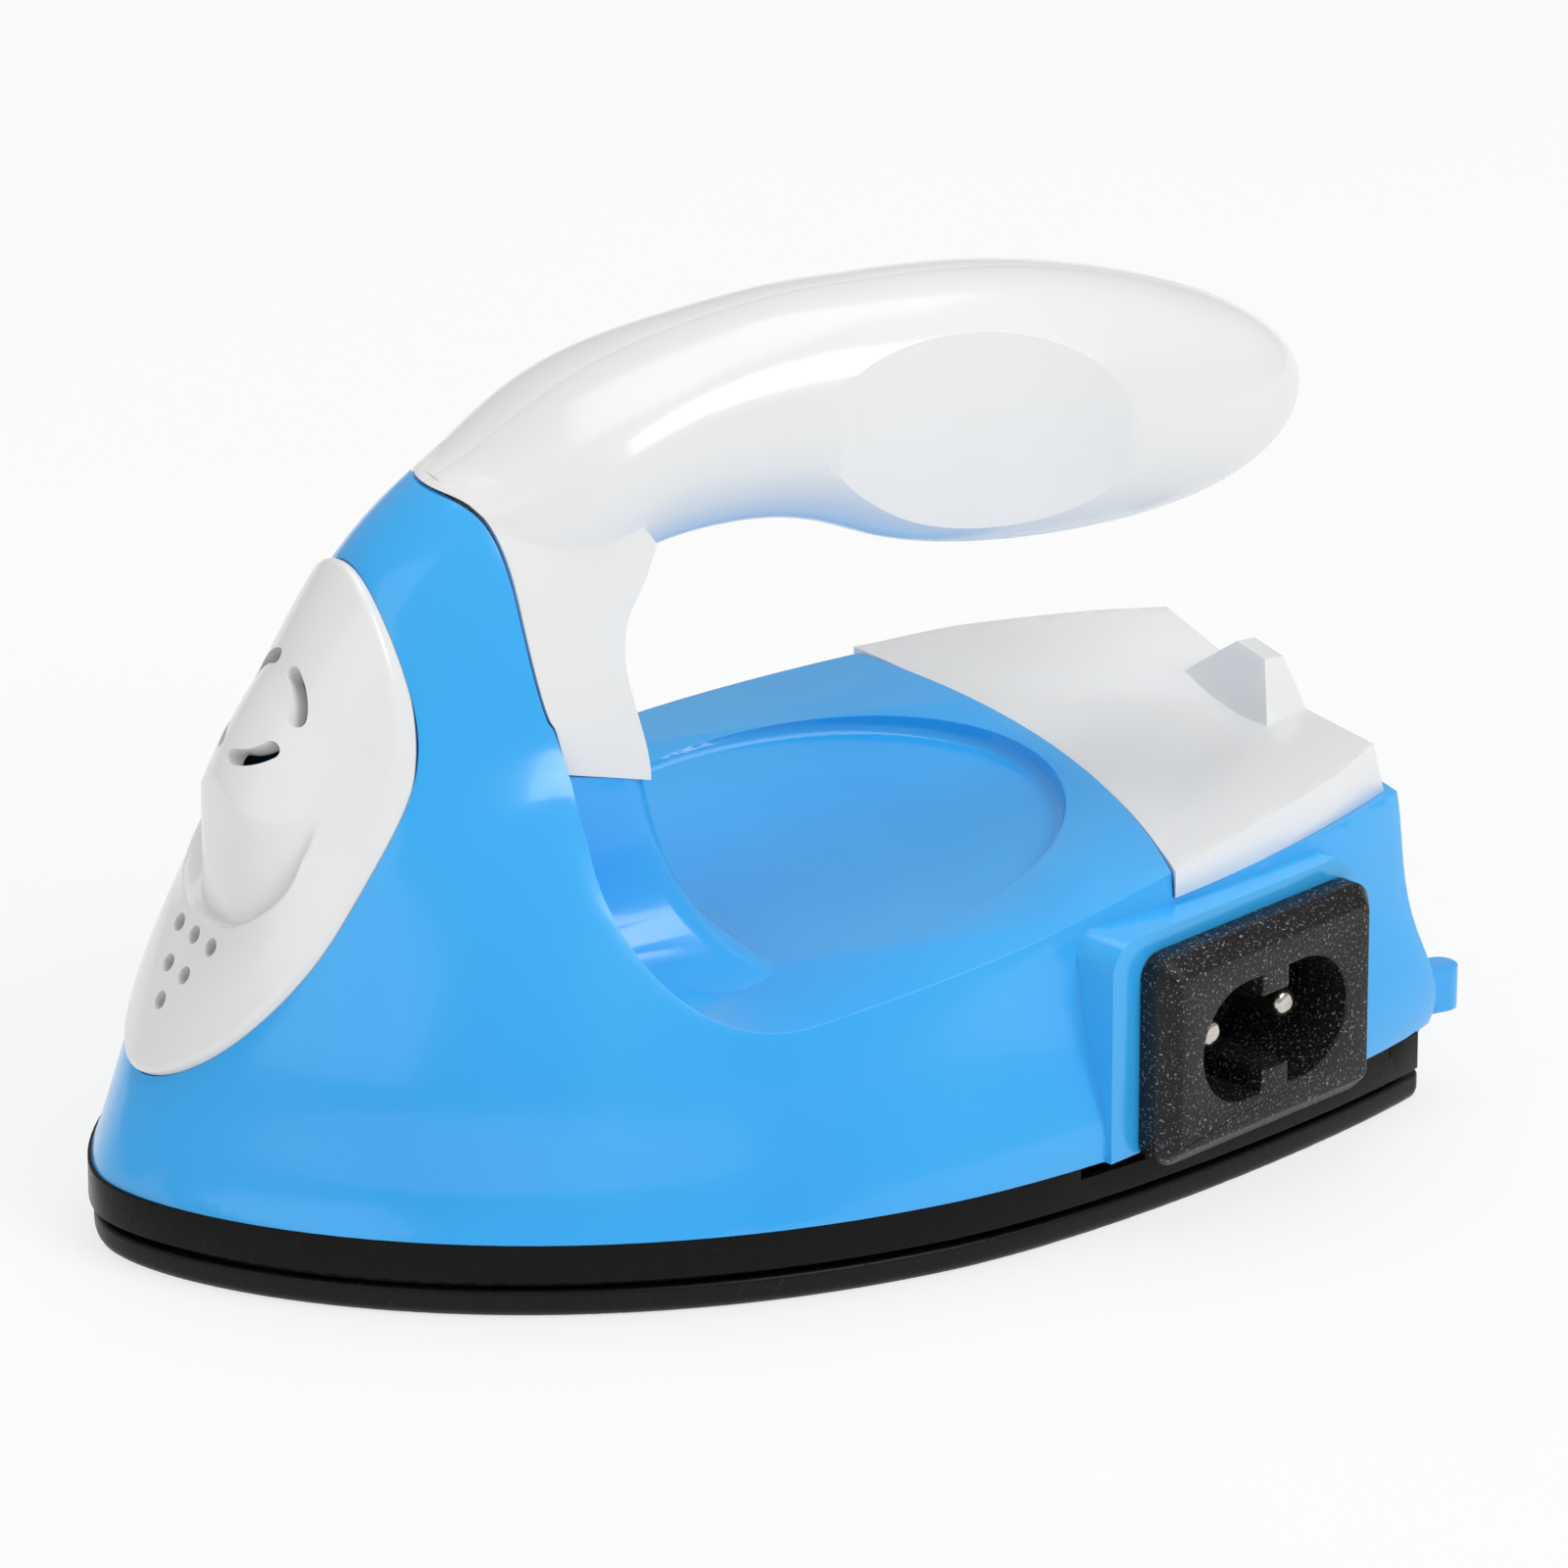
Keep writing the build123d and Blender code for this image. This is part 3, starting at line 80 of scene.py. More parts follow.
# ---------------------------------------------------------------- material helpers
def srgb(r, g, b):
    """Linear colour of an sRGB colour given in 0-255."""
    def one(c):
        c /= 255.0
        return c / 12.92 if c <= 0.04045 else ((c + 0.055) / 1.055) ** 2.4
    return one(r), one(g), one(b), 1.0


class Material:
    """A Principled material with object-space coordinates to hang procedural detail on."""

    def __init__(self, name, roughness, metallic=0.0, coat=0.0, coat_roughness=0.05, ior=1.5):
        self.material = bpy.data.materials.new(name)
        self.material.use_nodes = True
        self.tree = self.material.node_tree
        self.shader = self.tree.nodes["Principled BSDF"]
        self.set("Roughness", roughness)
        self.set("Metallic", metallic)
        self.set("IOR", ior)
        self.set("Coat Weight", coat)
        self.set("Coat Roughness", coat_roughness)
        self.coords = self.tree.nodes.new("ShaderNodeTexCoord").outputs["Object"]
        self.relief = None

    def set(self, socket, value):
        """Sets a constant on one of the shader's own sockets."""
        self.shader.inputs[socket].default_value = value

    def node(self, kind, **values):
        """A new node with the given properties."""
        made = self.tree.nodes.new(kind)
        for key, value in values.items():
            setattr(made, key, value)
        return made

    def link(self, a, b):
        self.tree.links.new(a, b)

    def noise(self, scale, detail=3.0, roughness=0.55, stretch=(1, 1, 1)):
        """Noise in object space; the scale is in cells per metre."""
        mapping = self.node("ShaderNodeMapping")
        mapping.inputs["Scale"].default_value = stretch
        self.link(self.coords, mapping.inputs["Vector"])
        noise = self.node("ShaderNodeTexNoise")
        noise.inputs["Scale"].default_value = scale
        noise.inputs["Detail"].default_value = detail
        noise.inputs["Roughness"].default_value = roughness
        self.link(mapping.outputs["Vector"], noise.inputs["Vector"])
        return noise.outputs["Fac"]

    def colour(self, source, stops):
        """Base colour from a ramp over a grey source; stops are (position, colour)."""
        ramp = self.node("ShaderNodeValToRGB")
        elements = ramp.color_ramp.elements
        while len(elements) < len(stops):
            elements.new(0.5)
        for element, (position, colour) in zip(elements, stops):
            element.position = position
            element.color = colour
        self.link(source, ramp.inputs["Fac"])
        self.link(ramp.outputs["Color"], self.shader.inputs["Base Color"])

    def rough(self, source, low, high):
        """Roughness that varies between two levels."""
        spread = self.node("ShaderNodeMapRange")
        spread.inputs["To Min"].default_value = low
        spread.inputs["To Max"].default_value = high
        self.link(source, spread.inputs["Value"])
        self.link(spread.outputs["Result"], self.shader.inputs["Roughness"])

    def bump(self, source, strength, distance):
        """Adds a layer of relief over the layers before it; the distance is in metres."""
        bump = self.node("ShaderNodeBump")
        bump.inputs["Strength"].default_value = strength
        bump.inputs["Distance"].default_value = distance
        self.link(source, bump.inputs["Height"])
        if self.relief is not None:
            self.link(self.relief, bump.inputs["Normal"])
        self.relief = bump.outputs["Normal"]
        self.link(self.relief, self.shader.inputs["Normal"])


# ---------------------------------------------------------------- kinds of material
def moulded(name, base, dark, light, roughness):
    """Glossy moulded plastic: faint flow marks in the colour, slight play in the gloss, a trace of orange peel."""
    m = Material(name, roughness, coat=0.3, coat_roughness=0.06, ior=1.53)
    flow = m.noise(scale=38.0, detail=2.0, stretch=(1, 1, 0.5))
    m.colour(flow, [(0.3, dark), (0.5, base), (0.72, light)])
    m.rough(m.noise(scale=60.0, detail=1.0), low=roughness - 0.02, high=roughness + 0.03)
    m.bump(m.noise(scale=900.0, detail=1.0), strength=0.03, distance=0.00003)
    return m.material


def black_coating(name):
    """Black non-stick coat on cast metal: fine sprayed grain with greyer crests and a soft sheen."""
    m = Material(name, roughness=0.42, coat=0.15, coat_roughness=0.3)
    grain = m.noise(scale=3200.0, detail=3.0)
    m.colour(grain, [(0.35, srgb(10, 10, 11)), (0.62, srgb(15, 15, 16)), (0.80, srgb(46, 46, 48))])
    m.rough(m.noise(scale=300.0, detail=4.0), low=0.34, high=0.52)
    m.bump(grain, strength=0.25, distance=0.00006)
    m.set("Specular IOR Level", 0.15)
    return m.material


def black_plastic(name, base, speck, strength, scale, roughness, gloss):
    """Black moulded plastic with a spark-eroded grain and paler specks on its crests."""
    m = Material(name, roughness)
    grain = m.noise(scale, detail=2.0, roughness=0.6)
    m.colour(grain, [(0.45, base), (0.6, base), (0.7, speck)])
    m.rough(grain, low=roughness - 0.1, high=roughness + 0.12)
    m.bump(grain, strength, distance=0.00012)
    m.bump(m.noise(scale * 0.3), strength=0.1, distance=0.0001)
    m.set("Specular IOR Level", gloss)
    return m.material


def metal(name, base, roughness, scale, stretch=(1, 1, 1), strength=0.08):
    """Metal with fine tool marks or plating mottle, darker in its hollows."""
    m = Material(name, roughness, metallic=1.0)
    marks = m.noise(scale, detail=3.0, stretch=stretch)
    darker = tuple(0.82 * c for c in base[:3]) + (1.0,)
    m.colour(marks, [(0.35, darker), (0.65, base)])
    m.rough(marks, low=roughness * 0.8, high=roughness * 1.25)
    m.bump(marks, strength, distance=0.00004)
    return m.material


def ceramic(name, base, light, scale, roughness, strength=0.1):
    """Fired, lacquered, laminated or drawn surface with a fine mottle."""
    m = Material(name, roughness)
    mottle = m.noise(scale, detail=4.0)
    m.colour(mottle, [(0.35, base), (0.7, light)])
    m.rough(mottle, low=roughness - 0.06, high=roughness + 0.08)
    m.bump(mottle, strength, distance=0.00008)
    return m.material


def braid(name, base, dark):
    """Woven glass-fibre sleeve: two crossing sets of threads."""
    m = Material(name, roughness=0.75)
    waves = []
    for direction in ("DIAGONAL", "X"):
        wave = m.node("ShaderNodeTexWave", wave_type="BANDS", bands_direction=direction)
        wave.inputs["Scale"].default_value = 420.0
        wave.inputs["Distortion"].default_value = 0.6
        m.link(m.coords, wave.inputs["Vector"])
        waves.append(wave.outputs["Fac"])
    weave = m.node("ShaderNodeMath", operation="MULTIPLY")
    m.link(waves[0], weave.inputs[0])
    m.link(waves[1], weave.inputs[1])
    m.colour(weave.outputs["Value"], [(0.05, dark), (0.5, base)])
    m.bump(weave.outputs["Value"], strength=0.5, distance=0.00015)
    return m.material


def lens_plastic(name):
    """Clear red lamp moulding."""
    m = Material(name, roughness=0.12, coat=0.5)
    m.set("Transmission Weight", 0.35)
    m.colour(m.noise(scale=500.0), [(0.4, srgb(190, 30, 26)), (0.7, srgb(214, 44, 36))])
    m.bump(m.noise(scale=900.0), strength=0.05, distance=0.00005)
    return m.material


slots = {
    "blue_shell": moulded(
        "blue_shell", base=srgb(54, 179, 253), dark=srgb(48, 174, 251), light=srgb(62, 184, 254), roughness=0.2
    ),
    "white_shell": moulded(
        "white_shell", base=srgb(243, 243, 242), dark=srgb(240, 240, 239), light=srgb(246, 246, 246), roughness=0.24
    ),
    "sole_coating": black_coating("sole_coating"),
    "shield_plastic": black_plastic(
        "shield_plastic", base=srgb(7, 7, 8), speck=srgb(20, 20, 21),
        strength=0.12, scale=2600.0, roughness=0.26, gloss=0.15,
    ),
    "inlet_plastic": black_plastic(
        "inlet_plastic", base=srgb(18, 18, 20), speck=srgb(150, 150, 154),
        strength=0.6, scale=4600.0, roughness=0.34, gloss=0.3,
    ),
    "pin_nickel": metal("pin_nickel", srgb(214, 208, 198), roughness=0.16, scale=900.0, stretch=(1, 1, 6)),
    "ptc_ceramic": ceramic(
        "ptc_ceramic", base=srgb(112, 114, 118), light=srgb(136, 138, 142), scale=1400.0, roughness=0.6
    ),
    "electrode_brass": metal("electrode_brass", srgb(214, 180, 108), roughness=0.28, scale=700.0, stretch=(1, 12, 1)),
    "amber_film": ceramic(
        "amber_film", base=srgb(196, 118, 30), light=srgb(212, 138, 48), scale=500.0, roughness=0.2, strength=0.04
    ),
    "clamp_aluminium": metal(
        "clamp_aluminium", srgb(204, 206, 210), roughness=0.36, scale=800.0, stretch=(14, 1, 1), strength=0.15
    ),
    "screw_steel": metal("screw_steel", srgb(196, 196, 198), roughness=0.3, scale=1500.0),
    "fuse_metal": metal("fuse_metal", srgb(206, 204, 198), roughness=0.25, scale=900.0, stretch=(8, 1, 1)),
    "sleeve_braid": braid("sleeve_braid", base=srgb(232, 228, 214), dark=srgb(168, 164, 150)),
    "board_laminate": ceramic(
        "board_laminate", base=srgb(28, 98, 48), light=srgb(40, 116, 60), scale=900.0, roughness=0.35, strength=0.06
    ),
    "lamp_red": lens_plastic("lamp_red"),
    "resistor_body": ceramic(
        "resistor_body", base=srgb(190, 168, 124), light=srgb(204, 184, 142), scale=700.0, roughness=0.4
    ),
    "lead_insulation": ceramic(
        "lead_insulation", base=srgb(222, 222, 220), light=srgb(234, 234, 232),
        scale=600.0, roughness=0.5, strength=0.05,
    ),
}

slot_of = {part["node"]: part["material_slot"] for part in frame["record"]["subparts"]}
for name, node in nodes.items():
    node.data.materials.clear()
    node.data.materials.append(slots[slot_of[name]])


# ---------------------------------------------------------------- finer shells in the place of CAD nodes
WELD = 2e-5  # metres: points of a CAD skin closer than this become one
FLAT_ANGLE = math.radians(0.5)  # triangles that meet flatter than this are merged
EDGE_ANGLE = math.radians(30.0)  # edges sharper than this are bevelled, and stay sharp in the shading
BEVEL_SEGMENTS = 3


def stand_for(piece, name):
    """The piece rides on the body, takes the node's finish and stands for the node."""
    piece.data.materials.clear()
    piece.data.materials.append(slots[slot_of[name]])
    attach(piece, "root")
    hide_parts(name)


def welded_copy(name):
    """A copy of a CAD node as one welded skin without the file's own normals."""
    mesh = nodes[name].data.copy()
    mesh.name = name + "_shell"
    for key in ("custom_normal", "sharp_edge", "sharp_face"):
        if key in mesh.attributes:
            mesh.attributes.remove(mesh.attributes[key])
    piece = add_object(name + "_shell", mesh)
    work = bmesh.new()
    work.from_mesh(mesh)
    bmesh.ops.remove_doubles(work, verts=work.verts, dist=WELD)
    bmesh.ops.dissolve_degenerate(work, edges=work.edges, dist=WELD)
    bmesh.ops.recalc_face_normals(work, faces=work.faces)
    work.to_mesh(mesh)
    work.free()
    return piece


def apply_modifiers(piece):
    """Bakes the piece's modifiers into its mesh."""
    depsgraph = bpy.context.evaluated_depsgraph_get()
    mesh = bpy.data.meshes.new_from_object(piece.evaluated_get(depsgraph))
    piece.modifiers.clear()
    old = piece.data
    piece.data = mesh
    bpy.data.meshes.remove(old)
    mesh.name = piece.name


def smooth_between_edges(mesh, angle):
    """Smooth shading that breaks at the edges sharper than an angle."""
    for polygon in mesh.polygons:
        polygon.use_smooth = True
    mesh.set_sharp_from_angle(angle=angle)


def slice_mesh(mesh, axis, places):
    """Cuts the faces along planes across an axis, so that a rule can bend them between their corners."""
    normal = [0.0, 0.0, 0.0]
    normal[axis] = 1.0
    work = bmesh.new()
    work.from_mesh(mesh)
    for place in places:
        where = [place * MM * n for n in normal]
        geometry = list(work.verts) + list(work.edges) + list(work.faces)
        bmesh.ops.bisect_plane(work, geom=geometry, dist=1e-7, plane_co=where, plane_no=normal)
    work.to_mesh(mesh)
    work.free()


def move_points(mesh, rule):
    """Passes the mesh's points, in millimetres, through a rule that returns them moved."""
    flat = np.empty(3 * len(mesh.vertices))
    mesh.vertices.foreach_get("co", flat)
    points = flat.reshape(-1, 3) / MM
    mesh.vertices.foreach_set("co", (rule(points) * MM).ravel())
    mesh.update()


def crisp_shell(name, width, rule=None, cuts=()):
    """The node's skin with its hard edges bevelled, cut along planes and bent by a rule where one is given."""
    piece = welded_copy(name)
    dissolve = piece.modifiers.new("flats", "DECIMATE")
    dissolve.decimate_type = "DISSOLVE"
    dissolve.angle_limit = FLAT_ANGLE
    bevel = piece.modifiers.new("edges", "BEVEL")
    bevel.limit_method = "ANGLE"
    bevel.angle_limit = EDGE_ANGLE
    bevel.width = width * MM
    bevel.segments = BEVEL_SEGMENTS
    apply_modifiers(piece)
    for axis, places in cuts:
        slice_mesh(piece.data, axis, places)
    if rule is not None:
        move_points(piece.data, rule)
    smooth_between_edges(piece.data, EDGE_ANGLE)
    stand_for(piece, name)


def ramp01(value, low, high):
    """Smooth step from 0 at low to 1 at high."""
    t = np.clip((value - low) / (high - low), 0.0, 1.0)
    return t * t * (3.0 - 2.0 * t)


# ---------------------------------------------------------------- housing and rear cover
SEAT_X, SEAT_Z, SEAT_RISE = 34.0, 25.05, 0.04  # the cover's seat: a point of it, and how it rises to the rear
TRIM_FROM_X = 36.0  # the housing's wall is trimmed behind this

SKIRT_TO_TOP = (25.6, 27.0)  # heights between which the cover's skirt, left alone, turns into its moved top
GABLE_FOOT = (29.0, 30.5)  # heights between which the middle facet turns into the rear gable
FRONT_EDGE_X, FRONT_EDGE_BOW, FRONT_EDGE_HALF = 30.1, 4.0, 27.0  # the cover's front edge bows forward at its ends
FACET_CORNER, FACET_NORMAL = (30.8, 19.0), (0.633, 0.775)  # crease between flank and middle facet, seen from above
TOP_SINK, FRONT_SINK, FACET_SINK = 0.5, 0.45, 0.6
FRONT_SINK_REACH = 8.0
REAR_PULL, REAR_PULL_X = 1.0, (44.0, 50.0)  # how far the top of the rear face leans forward, and from where


def housing_rule(points):
    """Trims the housing's rear wall down to the cover's seat, so that none of it stands beside the cover."""
    x, y, z = points.T
    seat = SEAT_Z + SEAT_RISE * (x - SEAT_X)
    trimmed = np.where((x > TRIM_FROM_X) & (z > seat), seat, z)
    return np.stack([x, y, trimmed], axis=1)


def cover_rule(points):
    """Settles the cover's top, its front edge nearly flush, with its middle facet below the flanks."""
    x, y, z = points.T
    across = np.abs(y)
    top = ramp01(z, *SKIRT_TO_TOP)
    from_front = x - (FRONT_EDGE_X - FRONT_EDGE_BOW * (across / FRONT_EDGE_HALF) ** 2)
    sink = -TOP_SINK - FRONT_SINK * (1.0 - ramp01(from_front, 0.0, FRONT_SINK_REACH))
    inside = (FACET_CORNER[0] - x) * FACET_NORMAL[0] + (FACET_CORNER[1] - across) * FACET_NORMAL[1]
    below_gable = 1.0 - ramp01(z, *GABLE_FOOT)
    sink -= FACET_SINK * ramp01(inside, -0.2, 4.0) * ramp01(from_front, 0.0, 6.0) * below_gable
    pull = -REAR_PULL * top * ramp01(x, *REAR_PULL_X)
    return np.stack([x + pull, y, z + sink * top], axis=1)


# ---------------------------------------------------------------- front vent panel
# Panel coordinates, in millimetres: u up along its axis, v across it, n out of it.
PANEL_LEAN = math.radians(59.9)
PANEL_FOOT = np.array([-49.6, 0.0, 14.9])
PANEL_ALONG = np.array([math.cos(PANEL_LEAN), 0.0, math.sin(PANEL_LEAN)])
PANEL_OUT = np.array([-math.sin(PANEL_LEAN), 0.0, math.cos(PANEL_LEAN)])
PANEL_LENGTH = 42.2
PANEL_HALF = 11.3
PANEL_WIDEST = 17.5  # station u of the greatest width
PANEL_MIDDLE = np.array([PANEL_WIDEST + 2.0, 0.0])
PANEL_WALL = 1.6
PANEL_EDGE_ANGLE = math.radians(38)
LIP_RADIUS, LIP_DROP = 0.5, 0.8  # rounding of the outer edge, and how much of its full depth it takes

RAISED_HALF, RAISED_RANGE = 7.8, (12.0, 38.0)  # the part of the CAD panel that the rim's fit leaves out
PROBE_START, PROBE_FLOOR = 30.0, -8.0  # rays come down from the first height; hits below the second don't count

FIELD_START, FIELD_HEIGHT, FIELD_FALL, FIELD_BLEND = 5.0, 1.0, 0.07, 1.2  # flat field round the vent holes
FIELD_END = (13.0, 22.0)
CAP_MIDDLE, CAP_STRETCH, CAP_RADIUS = 21.5, 1.15, 9.6
CAP_RISE, CAP_SHARPNESS = 1.15, 1.3
FACET_RISE, FACET_BACK, FACET_BOW, FACET_BLEND = 0.58, 8.09, 0.012, 0.14
RECESS_DEPTH = 1.6  # the facet's foot lies this far below the rim
RECESS_TOP, RECESS_HALF, RECESS_FOOT = 19.5, 7.7, 6.6  # the recess is a U: straight sides above its round foot
RECESS_SCALE, RECESS_WALL = 7.0, (-0.5, 0.5)

SLOT_STATION, SLOT_RING, SLOT_WIDTH = 29.4, 4.2, 1.3
SLOT_COUNT, SLOT_FIRST, SLOT_SPAN = 4, 36, math.radians(48)
HOLE_STATIONS, HOLE_PITCH, HOLE_RADIUS = (11.3, 8.3, 5.6), 2.85, 0.75
CUT_RANGE = (-6.0, 12.0)  # heights between which the cutters stand


def panel_place(u, v, n):
    """World points, in millimetres, of panel points."""
    return PANEL_FOOT + np.outer(u, PANEL_ALONG) + np.outer(v, (0.0, 1.0, 0.0)) + np.outer(n, PANEL_OUT)


def skin_terms(u, v):
    """Terms of the rim's polynomial: cubic along the panel, and even powers up to the fourth across it."""
    s, w = u / 20.0 - 1.0, (v / 10.0) ** 2
    return np.stack([s**i * w**j for i in range(4) for j in range(3)], axis=-1)


def panel_skin_fit():
    """Smooth surface through the rim of the CAD panel, as the factors of the polynomial's terms."""
    mesh = nodes["front_panel"].data
    points = np.array([tuple(v.co) for v in mesh.vertices]) / MM - PANEL_FOOT
    faces = [tuple(p.vertices) for p in mesh.polygons]
    local = np.stack([points @ PANEL_ALONG, points[:, 1], points @ PANEL_OUT], axis=1)
    tree = BVHTree.FromPolygons([tuple(p) for p in local], faces)
    places, heights = [], []
    for u in np.arange(1.0, PANEL_LENGTH, 1.0):
        for v in np.arange(-11.0, 11.1, 0.5):
            if abs(v) < RAISED_HALF and RAISED_RANGE[0] < u < RAISED_RANGE[1]:
                continue
            hit = tree.ray_cast(Vector((u, v, PROBE_START)), Vector((0.0, 0.0, -1.0)))[0]
            if hit is not None and hit.z > PROBE_FLOOR:
                places.append((u, v))
                heights.append(hit.z)
    places = np.array(places)
    return np.linalg.lstsq(skin_terms(places[:, 0], places[:, 1]), np.array(heights), rcond=None)[0]


def soft_min(a, b, width):
    """The lower of two surfaces, blended over a width where they cross."""
    h = np.clip(0.5 + 0.5 * (b - a) / width, 0.0, 1.0)
    return b * (1.0 - h) + a * h - width * h * (1.0 - h)


def panel_height(u, v, factors):
    """Front of the panel: rim, flat vent field, raised cap and the recess with its upright facet."""
    rim = skin_terms(u, v) @ factors
    field = soft_min(rim, FIELD_HEIGHT - FIELD_FALL * (u - FIELD_START), FIELD_BLEND)
    rim = field + (rim - field) * ramp01(u, *FIELD_END)
    reach = np.hypot((u - CAP_MIDDLE) / CAP_STRETCH, v) / CAP_RADIUS
    cap = rim + CAP_RISE * np.clip(1.0 - reach**2, 0.0, 1.0) ** CAP_SHARPNESS
    facet = FACET_RISE * u - FACET_BACK - FACET_BOW * np.abs(v) ** 3
    facet = np.maximum(facet, rim - RECESS_DEPTH)
    inner = soft_min(facet, cap, FACET_BLEND)
    edge = np.hypot(v / RECESS_HALF, np.maximum(RECESS_TOP - u, 0.0) / RECESS_FOOT)
    inside = ramp01((1.0 - edge) * RECESS_SCALE, *RECESS_WALL)
    return cap + (inner - cap) * inside


def bezier(points, count):
    """Points along a cubic curve from its four control points."""
    t = np.linspace(0.0, 1.0, count)[:, None]
    a, b, c, d = (np.array(p, dtype=float) for p in points)
    return (1 - t) ** 3 * a + 3 * t * (1 - t) ** 2 * b + 3 * t**2 * (1 - t) * c + t**3 * d


def panel_outline():
    """The panel's egg-shaped outline, from its foot up one side and down the other."""
    lower = bezier([(0, 0), (0, 5.2), (8, PANEL_HALF), (PANEL_WIDEST, PANEL_HALF)], 90)
    upper = bezier([(PANEL_WIDEST, PANEL_HALF), (29, PANEL_HALF), (PANEL_LENGTH, 8.5), (PANEL_LENGTH, 0)], 120)
    side = np.concatenate([lower, upper[1:]])
    return np.concatenate([side, side[-2:0:-1] * (1, -1)])


def neighbours(ring):
    """Pairs of positions that follow each other round a closed ring."""
    return [(i, (i + 1) % len(ring)) for i in range(len(ring))]


def add_points(work, places):
    """New bmesh points at places given in millimetres."""
    return [work.verts.new(tuple(p)) for p in places * MM]


def prism(work, outline, low, high):
    """Adds a closed prism that stands on the panel, between two heights."""
    bottom, top = (
        add_points(work, panel_place(outline[:, 0], outline[:, 1], np.full(len(outline), level)))
        for level in (low, high)
    )
    for i, j in neighbours(outline):
        work.faces.new((bottom[i], bottom[j], top[j], top[i]))
    work.faces.new(top)
    work.faces.new(list(reversed(bottom)))


def round_hole(u, v, radius):
    """Outline of a round hole."""
    angle = np.linspace(0.0, 2 * math.pi, 28, endpoint=False)
    return np.stack([u + radius * np.cos(angle), v + radius * np.sin(angle)], axis=1)


def arc_slot(u, v, ring, width, middle, span):
    """Outline of a slot along an arc, with round ends."""
    half = width / 2
    steps = np.linspace(-span / 2, span / 2, 20)
    turns = np.linspace(0, math.pi, 9)[1:-1]

    def along(radius, angles):
        return [(u + radius * math.cos(middle + a), v + radius * math.sin(middle + a)) for a in angles]

    def round_end(end, start):
        centre = (u + ring * math.cos(end), v + ring * math.sin(end))
        return [
            (centre[0] + half * math.cos(end + (start + t)), centre[1] + half * math.sin(end + (start + t)))
            for t in turns
        ]

    points = along(ring + half, steps) + round_end(middle + span / 2, 0.0)
    points += along(ring - half, steps[::-1]) + round_end(middle - span / 2, math.pi)
    return np.array(points)


def finish_mesh(work, name):
    """Turns a bmesh into an object with its normals facing out."""
    bmesh.ops.recalc_face_normals(work, faces=work.faces)
    mesh = bpy.data.meshes.new(name)
    work.to_mesh(mesh)
    work.free()
    return add_object(name, mesh)


def panel_blank():
    """The panel as one closed moulding: front and back skins as rings round a hub, joined along the outline."""
    outline = panel_outline()
    spread = outline - PANEL_MIDDLE
    even = np.linspace(0, 0.95, 78)
    towards_lip = 1 - 0.05 * (1 - np.linspace(0, 1, 10)[1:]) ** 1.6
    shares = np.concatenate([even, towards_lip])[1:]
    factors = panel_skin_fit()
    work = bmesh.new()
    layers = []
    for depth in (0.0, PANEL_WALL):
        rings = []
        for share in shares:
            flat = PANEL_MIDDLE + share * spread
            height = panel_height(flat[:, 0], flat[:, 1], factors)
            inset = (1.0 - share) * np.hypot(*spread.T)
            lip = np.clip(LIP_RADIUS - inset, 0.0, LIP_RADIUS)
            if depth == 0.0:
                height = height - (LIP_RADIUS - np.sqrt(LIP_RADIUS**2 - lip**2)) * LIP_DROP
            rings.append(add_points(work, panel_place(flat[:, 0], flat[:, 1], height - depth)))
        hub_height = panel_height(PANEL_MIDDLE[:1], PANEL_MIDDLE[1:], factors) - depth
        hub = add_points(work, panel_place(PANEL_MIDDLE[:1], PANEL_MIDDLE[1:], hub_height))[0]
        layers.append((rings, hub))
    for rings, hub in layers:
        for i, j in neighbours(outline):
            work.faces.new((hub, rings[0][i], rings[0][j]))
            for a, b in zip(rings, rings[1:]):
                work.faces.new((a[i], b[i], b[j], a[j]))
    front, back = (rings[-1] for rings, hub in layers)
    for i, j in neighbours(outline):
        work.faces.new((front[i], back[i], back[j], front[j]))
    return finish_mesh(work, "front_panel_shell")


def panel_cutters():
    """The ring of arc slots on the cap and the triangle of vent holes below it, as prisms."""
    work = bmesh.new()
    for k in range(SLOT_COUNT):
        middle = math.radians(SLOT_FIRST + 360 // SLOT_COUNT * k)
        prism(work, arc_slot(SLOT_STATION, 0.0, SLOT_RING, SLOT_WIDTH, middle, SLOT_SPAN), *CUT_RANGE)
    for row, station in enumerate(HOLE_STATIONS):
        for k in range(3 - row):
            prism(work, round_hole(station, HOLE_PITCH * (k - (2 - row) / 2), HOLE_RADIUS), *CUT_RANGE)
    return finish_mesh(work, "panel_cuts")


def vent_panel():
    """The panel with its arc slots and round vent holes cut through."""
    piece = panel_blank()
    cutter = panel_cutters()
    holes = piece.modifiers.new("holes", "BOOLEAN")
    holes.operation = "DIFFERENCE"
    holes.solver = "EXACT"
    holes.object = cutter
    apply_modifiers(piece)
    cutter_mesh = cutter.data
    bpy.data.objects.remove(cutter)
    bpy.data.meshes.remove(cutter_mesh)
    smooth_between_edges(piece.data, PANEL_EDGE_ANGLE)
    stand_for(piece, "front_panel")


# ---------------------------------------------------------------- the shells, with their bevels in millimetres
X, Y = 0, 1
vent_panel()
crisp_shell("housing", 0.5, rule=housing_rule, cuts=[(X, np.arange(36.0, 52.0, 2.0))])
crisp_shell(
    "rear_cover", 0.3, rule=cover_rule,
    cuts=[(X, np.arange(28.0, 50.0, 2.0)), (Y, np.arange(-24.0, 25.0, 2.0))],
)
for name, width in (
    ("handle_left", 0.25),
    ("handle_right", 0.25),
    ("soleplate", 0.15),
    ("heat_shield", 0.2),
    ("inlet_body", 0.2),
):
    crisp_shell(name, width)

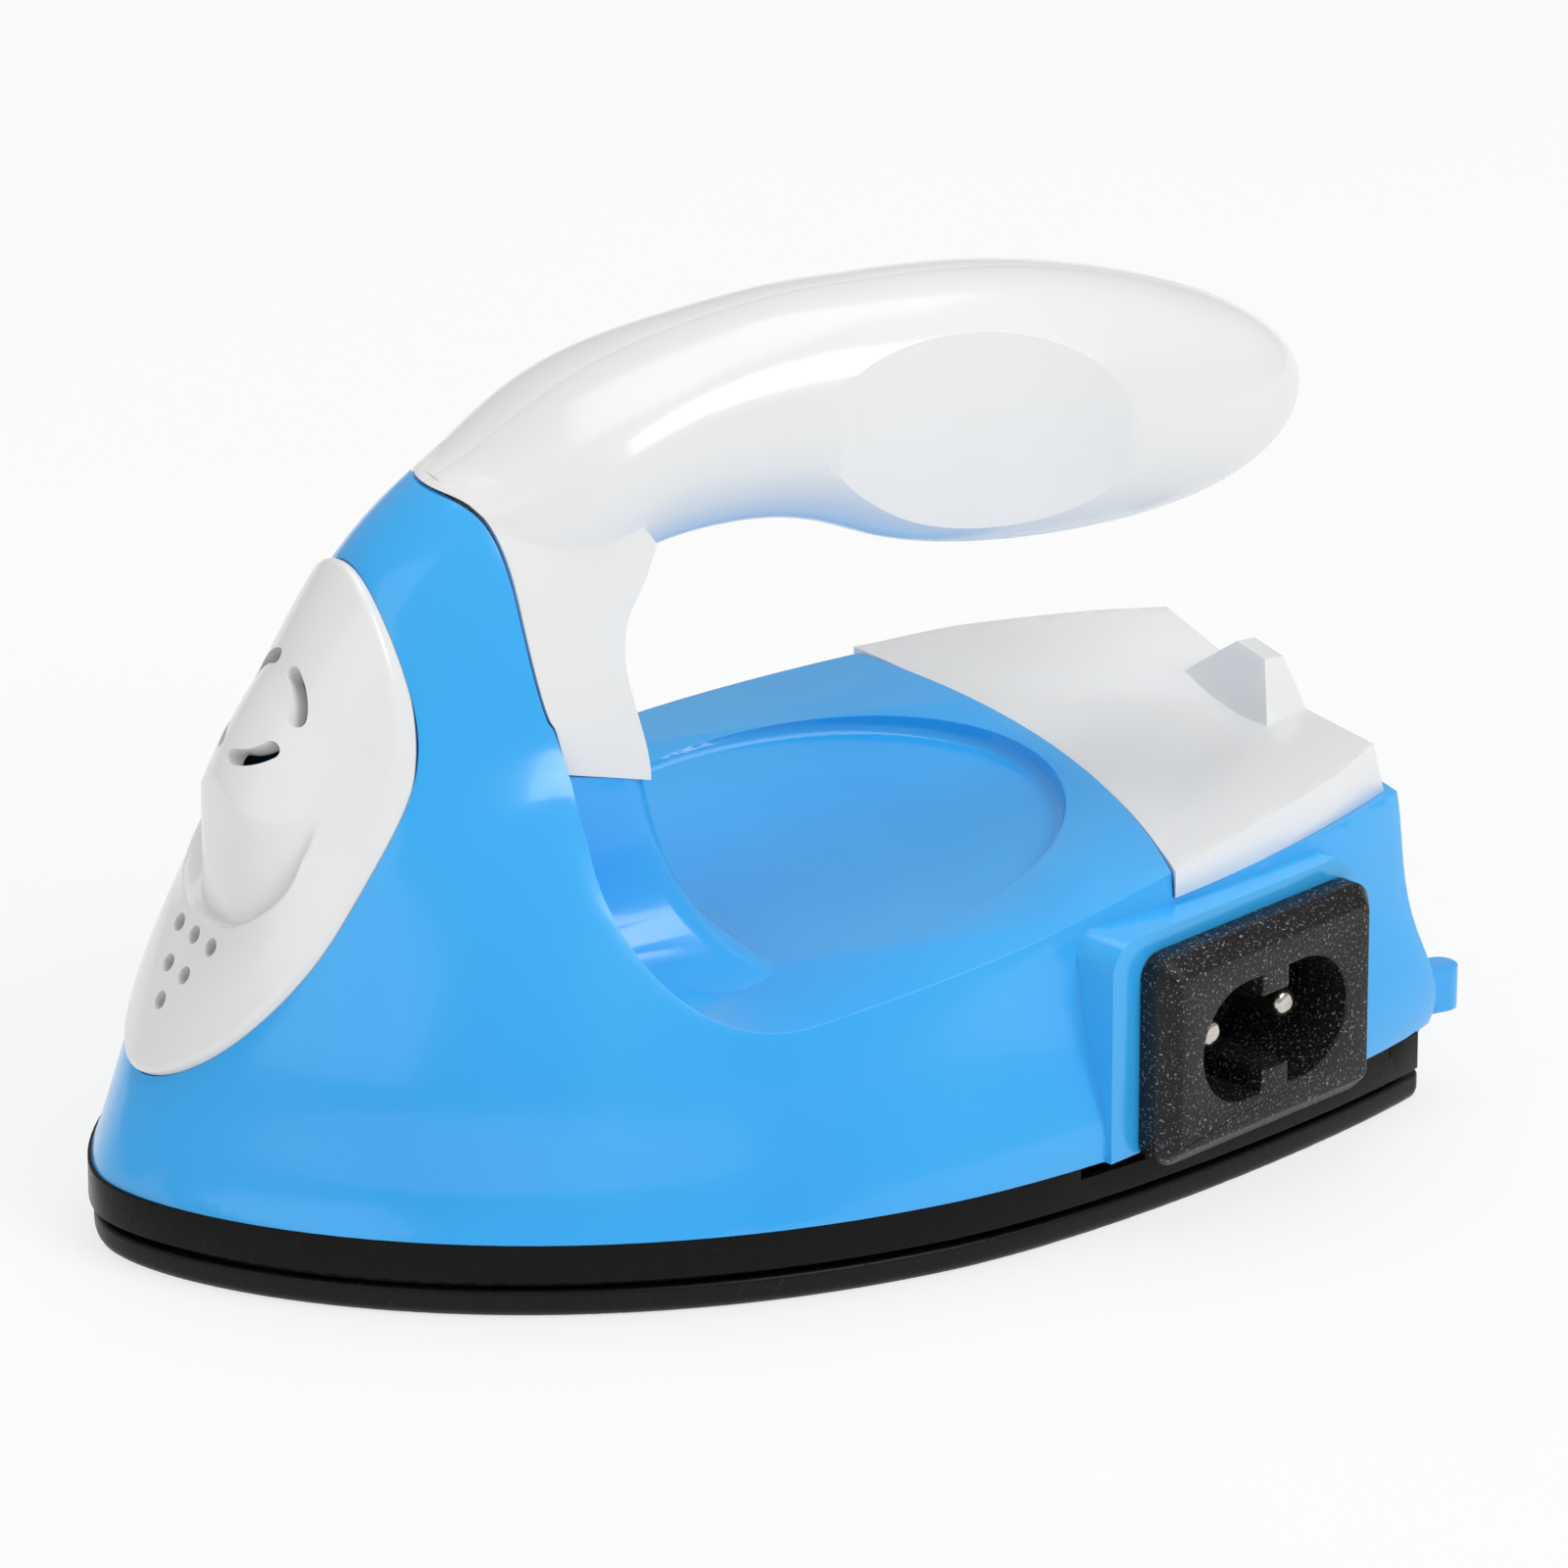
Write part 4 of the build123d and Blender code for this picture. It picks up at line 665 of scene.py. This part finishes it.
# ---------------------------------------------------------------- studio
FLOOR_SIZE = 6.0
FLOOR_LIFT = 0.75  # share of plain white in what the camera and reflections see of the floor
WORLD_STRENGTH = 0.42
AIM = Vector((0, 0, 0.03))


def floor_material():
    """White paper; what the camera and reflections see of it is lifted towards white."""
    m = Material("floor_paper", roughness=0.9)
    m.colour(m.noise(scale=12.0), [(0.3, srgb(250, 250, 250)), (0.7, srgb(252, 252, 252))])
    path = m.node("ShaderNodeLightPath")
    seen = path.outputs["Is Camera Ray"]
    for other in ("Is Glossy Ray", "Is Transmission Ray"):
        either = m.node("ShaderNodeMath", operation="MAXIMUM")
        m.link(seen, either.inputs[0])
        m.link(path.outputs[other], either.inputs[1])
        seen = either.outputs["Value"]
    share = m.node("ShaderNodeMath", operation="MULTIPLY")
    share.inputs[1].default_value = FLOOR_LIFT
    m.link(seen, share.inputs[0])
    white = m.node("ShaderNodeEmission")
    mix = m.node("ShaderNodeMixShader")
    m.link(share.outputs["Value"], mix.inputs[0])
    m.link(m.shader.outputs["BSDF"], mix.inputs[1])
    m.link(white.outputs["Emission"], mix.inputs[2])
    m.link(mix.outputs["Shader"], m.tree.nodes["Material Output"].inputs["Surface"])
    return m.material


def soft_box(name, place, size, power):
    """A square area lamp at a place, in metres, aimed at the object."""
    data = bpy.data.lights.new(name, "AREA")
    data.shape = "SQUARE"
    data.size = size
    data.energy = power
    lamp = add_object(name, data)
    lamp.location = place
    lamp.rotation_euler = (AIM - Vector(place)).to_track_quat("-Z", "Y").to_euler()


scene.view_settings.view_transform = "Standard"

bpy.ops.mesh.primitive_plane_add(size=FLOOR_SIZE, location=(0, 0, 0))
floor = bpy.context.object
floor.name = "floor"
floor.data.materials.append(floor_material())

scene.world = bpy.data.worlds.new("studio")
scene.world.use_nodes = True
background = scene.world.node_tree.nodes["Background"]
background.inputs["Color"].default_value = (1.0, 1.0, 1.0, 1.0)
background.inputs["Strength"].default_value = WORLD_STRENGTH

soft_box("key", (0.35, -0.85, 0.85), size=0.6, power=5.5)
soft_box("fill", (-0.85, -0.35, 0.5), size=0.7, power=1.1)
soft_box("top", (0.1, 0.25, 1.1), size=0.9, power=4.0)
